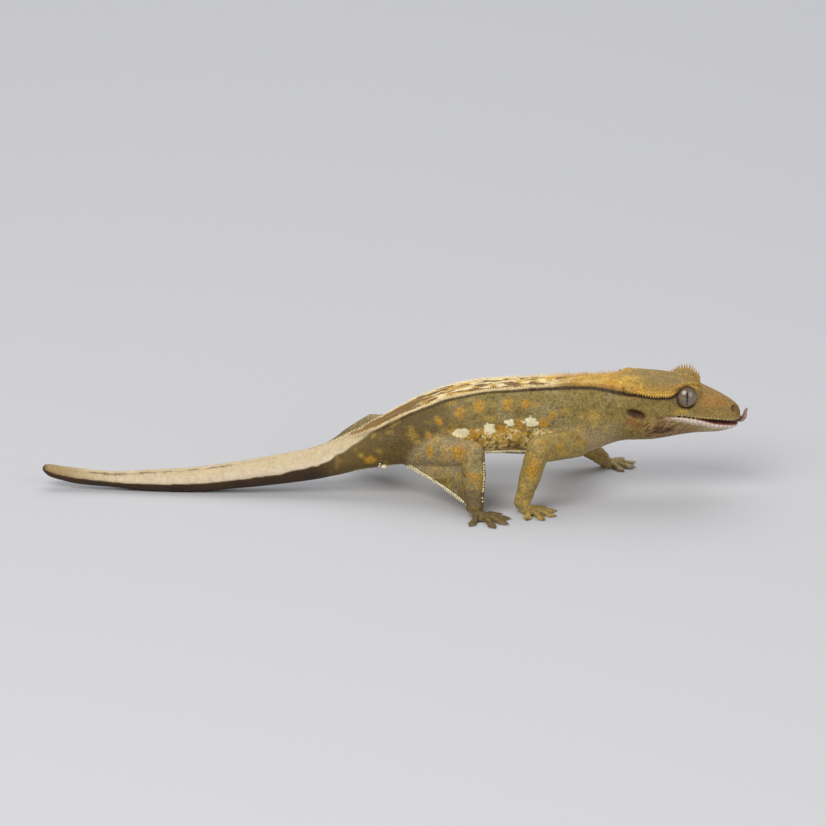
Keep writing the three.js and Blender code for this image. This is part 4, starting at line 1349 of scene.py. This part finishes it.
CREST_START, CREST_END, CREST_STEP, BROW_STEP = -24.0, 66.5, 0.72, 0.72
# The small scales beside each crest spine: distance from its row, size
CREST_SCALES = ((-0.62, 0.75), (0.6, 0.7), (-1.2, 0.5))
# Two smaller scales inside each spine of the brow: distance in from the edge, lift
BROW_SCALES = ((0.7, 0.1), (1.4, 0.15))
LIPS_START, LIPS_END = 80.0, 99.3
# The belly's fringe: from x, to x, step, and its angle round from the top of the back
BELLY_FRINGE, BELLY_TURN = (21, 44, 0.62), 132
# Each spur and the two small scales beside it: place from the vent in x and z, size
SPUR_SCALES = ((0, 0, 0.9), (-1.35, 0.1, 0.34), (-1.1, 0.95, 0.28))


def crest_spines():
    """A row of spines along each side of the back, with small scales beside them."""
    bag = Bag()
    for side in (1, -1):
        x = CREST_START
        while x < CREST_END:
            grown, strength = ramp(-24, -8, x), ramp(-10, 55, x)
            row = level_at(ROW_SPREAD, x)
            root, _ = seat(trunk_top(x, side * row))
            lift = math.radians(60 + rng.uniform(-8, 8))
            direction = (-0.15, side * math.cos(lift), math.sin(lift))
            length = (0.5 + 0.5 * strength) * (0.35 + 0.65 * grown) * rng.uniform(0.8, 1.15)
            length *= 1 + 0.3 * ramp(40, 50, x)
            add_spine(bag, root, direction, length, 0.36 + 0.04 * strength, (-0.12, 0, 0.1))
            for offset, size in CREST_SCALES:
                place, normal = seat(trunk_top(x + rng.uniform(-0.2, 0.2), side * (row + offset)))
                add_dome(bag, place, normal, (1, 0, 0), 0.36 * size + 0.06, 0.3 * size + 0.05,
                         0.22 * size * grown + 0.02)
            x += CREST_STEP
    return bag, form_colours(bag)


def brow_spines():
    """The spiny edge of each brow and flap, with two rows of small scales inside it."""
    bag, edge_share = Bag(), []
    for side in (1, -1):
        corners = flap_points(side)
        length, point_at = walk([curve_point(corners, t) for t in np.linspace(0, 1, 400)])
        for distance in np.arange(0.4, length, BROW_STEP):
            point = point_at(distance)
            lift, reach = read_table(FLAP, point[0])[2:4]
            root, _ = seat(point)
            angle = math.radians(lift + rng.uniform(-6, 6))
            forward = 0.55 * ramp(82, 88, point[0]) - 0.1
            direction = unit((forward, side * math.cos(angle), math.sin(angle)))
            reach = reach * (1.15 - 0.15 * ramp(79, 82, point[0])) * rng.uniform(0.7, 1.1) + 0.1
            add_spine(bag, root, direction, reach, 0.3, (-0.08, 0, 0.12))
            edge_share.append(1.0)
            for inset, lift in BROW_SCALES:
                place, normal = seat(point - direction * 0.2 + np.array([0, -side * inset, lift]))
                add_spine(bag, place, unit(normal + direction * 0.6), 0.36, 0.24, sides=5)
                edge_share.append(0.2)
    edge_share = np.array(edge_share)
    over_eye = ramp(79, 82, np.array(bag.roots)[:, 0])
    return bag, layered(form_colours(bag), (SPINE_TAN, 0.5 * edge_share),
                        (SPINE_BROWN, 0.4 * over_eye * edge_share))


def labial_scales():
    """The rows of scales along both lips, the lower ones larger and paler."""
    bag, paleness = Bag(), []
    for side in (1, -1):
        for table, rise, ways, pale in ((UPPER_LIP, 0.42, 1, False), (LOWER_LIP, 0.62, -1, True)):
            x = LIPS_START
            while x < LIPS_END:
                grown = ramp(79, 87, x) if pale else 1.0
                size = 0.54 + pale * (0.26 * grown - 0.1)
                z = level_at(table, x) + ways * rise * (0.5 + 0.5 * grown)
                place, normal = seat(trunk_side(x, z, side))
                slope = (level_at(table, x + 0.2) - level_at(table, x - 0.2)) / 0.4
                add_dome(bag, place, normal, (1, 0, slope), size * 0.84, rise * (0.4 + 0.45 * grown),
                         0.16 + 0.1 * pale)
                paleness.append(pale * (0.35 + 0.65 * grown) * rng.uniform(0.8, 1.0))
                x += size * 1.76 * (1 - 0.35 * ramp(96, 99, x))
    return bag, layered(form_colours(bag), (PINK_WHITE, np.array(paleness)))


def add_pointed(bag, near, way, length, radius):
    """A pointed scale on the skin nearest to a point, leaning its way."""
    place, normal = seat(near)
    add_spine(bag, place, unit(normal + way), length * rng.uniform(0.7, 1.2), radius, sides=5)


def fringe_scales():
    """Pale pointed scales along the edges of the belly, the webs of the knees and the shanks."""
    bag = Bag()
    for side in (1, -1):
        angle = math.radians(90 - side * BELLY_TURN)
        for x in np.arange(*BELLY_FRINGE):
            add_pointed(bag, trunk_point(x, angle), -0.25 * UP, 0.85, 0.38)
    for name, edge in web_edges.items():
        root, bend, end = LIMBS[name].joints
        length, point_at = walk(edge)
        for distance in np.arange(2.6, length - 0.4, 0.78):
            point = point_at(distance)
            ahead = point_at(distance + 0.5) - point
            inward = unit(bend - point)
            add_pointed(bag, point - inward, unit(ahead) * 0.4, 0.7, 0.4)
            for side in (1, -1):
                place, normal = seat(point + inward * 0.3 + unit(np.cross(ahead, inward)) * side)
                add_dome(bag, place, normal, ahead, 0.32, 0.3, 0.2)
        for share in np.arange(0.14, 0.9, 0.048):
            below = bend * (1 - share) + end * share + unit(bend - root) * 6
            add_pointed(bag, below, -0.4 * UP, 0.42, 0.27)
    return bag, np.tile(PALE_CREAM, (len(bag.roots), 1))


def cloacal_spurs():
    """A large scale with two smaller ones on each side of the vent."""
    bag = Bag()
    for side in (1, -1):
        for dx, dz, size in SPUR_SCALES:
            place, normal = seat(trunk_side(VENT[0] + dx, VENT[1] + dz, side))
            add_dome(bag, place, normal, (-1, 0, 0), size, size * 0.9, size)
    return bag, np.tile(PALE_CREAM, (len(bag.roots), 1))


def claws():
    bag = Bag()
    for tip, along in toe_tips:
        root = at_height(tip, 0.5) + along * 0.1
        add_spine(bag, root, along + 0.25 * UP, 0.95, 0.24, (0, 0, -0.45), sides=8)
    return bag, np.tile(CLAW_BROWN, (len(bag.roots), 1))


def eyeball(name, side, finish):
    """One eye, turned a little forward; the gaze is kept on its surface for the iris."""
    bag = Bag()
    bag.rings(ball_rings((0, 0, 0), (1, 1, 1), 64), ends=(UP, -UP))
    sphere = bag.points[0]
    look = unit((math.sin(EYE_TURN), side * math.cos(EYE_TURN), 0.1))
    right = unit(np.cross(UP, look)) * -side
    up = unit(np.cross(right, look)) * side
    gaze = np.stack([sphere @ right, sphere @ look, sphere @ up], axis=1)
    # The clear front bulges a little
    swollen = sphere * (1 + 0.02 * ramp(0.6, 1.0, gaze[:, 1]))[:, None]
    centre = EYE_CENTRE * (1, side, 1)
    made = turned_out(new_object(name, world(centre + swollen * EYE_RADIUS * EYE_FIT), bag.faces))
    made.data.attributes.new("Gaze", "FLOAT_VECTOR", "POINT").data.foreach_set("vector", gaze.ravel())
    return finished(made, finish)


def tongue_piece():
    """The tongue, curled up over the snout, with a groove along its middle."""
    bag = Bag()
    route = [np.array([x, 0, z]) for x, z, _, _ in TONGUE]
    radii = [row[2:] for row in TONGUE]
    bag.rings(tube_rings(route, radii, (-0.05, 0, 1), *TONGUE_STEPS, (0.4, 0.8, 1.2)))
    points = bag.points[0]
    points[:, 2] -= 0.1 * hump(points[:, 1], 0, 0.22) * ramp(91, 94, points[:, 0])
    made = turned_out(new_object("tongue_flesh", world(points), bag.faces))
    return finished(made, tongue_material())


FLESH = ["tail_tip", "tail_end", "tail_middle", "tail_base", "pelvis", "torso", "chest", "neck", "head",
         "lower_jaw"]
for segment in ("upper_arm", "forearm", "hand", "thigh", "shank", "foot"):
    FLESH += [f"{segment}_{which}" for which in ("right", "left")]

skin.data.vertices.foreach_set("co", world(skin_points).ravel())
skin.data.update()
finished(skin, skin_material())
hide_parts(*FLESH)
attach(skin, "root")

scale_finish = scale_material()
for make in (crest_spines, brow_spines, labial_scales, fringe_scales, cloacal_spurs, claws):
    piece = coat_piece(make.__name__, *make(), scale_finish)
    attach(piece, "root")

eye_finish = eye_material()
for name, side in (("eye_left", 1), ("eye_right", -1)):
    eye = eyeball(name + "_ball", side, eye_finish)
    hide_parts(name)
    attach(eye, "root")

tongue = tongue_piece()
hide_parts("tongue")
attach(tongue, "root")


def floor_piece():
    made = new_object("floor", [(-3, -3, 0), (3, -3, 0), (3, 3, 0), (-3, 3, 0)], [[0, 1, 2, 3]])
    made.data.materials.append(floor_material())


def aimed(name, data, place, target):
    """An object at a place, looking at the target."""
    made = bpy.data.objects.new(name, data)
    made.location = place
    made.rotation_mode = "QUATERNION"
    made.rotation_quaternion = (Vector(target) - Vector(place)).to_track_quat("-Z", "Y")
    bpy.context.collection.objects.link(made)
    return made


def soft_light(name, place, target, size, power, tint=(1, 1, 1)):
    data = bpy.data.lights.new(name, "AREA")
    data.shape, data.size, data.energy, data.color = "SQUARE", size, power, tint
    aimed(name, data, place, target)


def studio():
    """The floor, three lights and a dim room."""
    floor_piece()
    soft_light("key", (-0.45, -0.75, 0.95), (0, 0, 0.02), 0.85, 11.6, (1.0, 0.98, 0.95))
    soft_light("fill", (0.8, -0.8, 0.5), (0, 0, 0.02), 0.8, 4.0, (0.95, 0.97, 1.0))
    soft_light("top", (0.0, 0.95, 1.3), (0, 0.4, 0), 1.5, 13.5)
    room = bpy.data.worlds.new("soft_room")
    room.use_nodes = True
    background = room.node_tree.nodes["Background"]
    background.inputs[0].default_value = (0.9, 0.93, 1.0, 1)
    background.inputs[1].default_value = 0.33
    bpy.context.scene.world = room
    bpy.context.scene.view_settings.view_transform = "Standard"


def camera():
    """The photo's view, from the animal's right side and a little above."""
    elevation = math.radians(18)
    distance = 1.5
    seen_width = 0.2377
    target = Vector((5.25, -2.7, 23.4)) * MM
    data = bpy.data.cameras.new("camera")
    data.sensor_width = 36
    data.lens = 36 * distance / seen_width
    place = target + distance * Vector((0, -math.cos(elevation), math.sin(elevation)))
    bpy.context.scene.camera = aimed("camera", data, place, target)


studio()
camera()
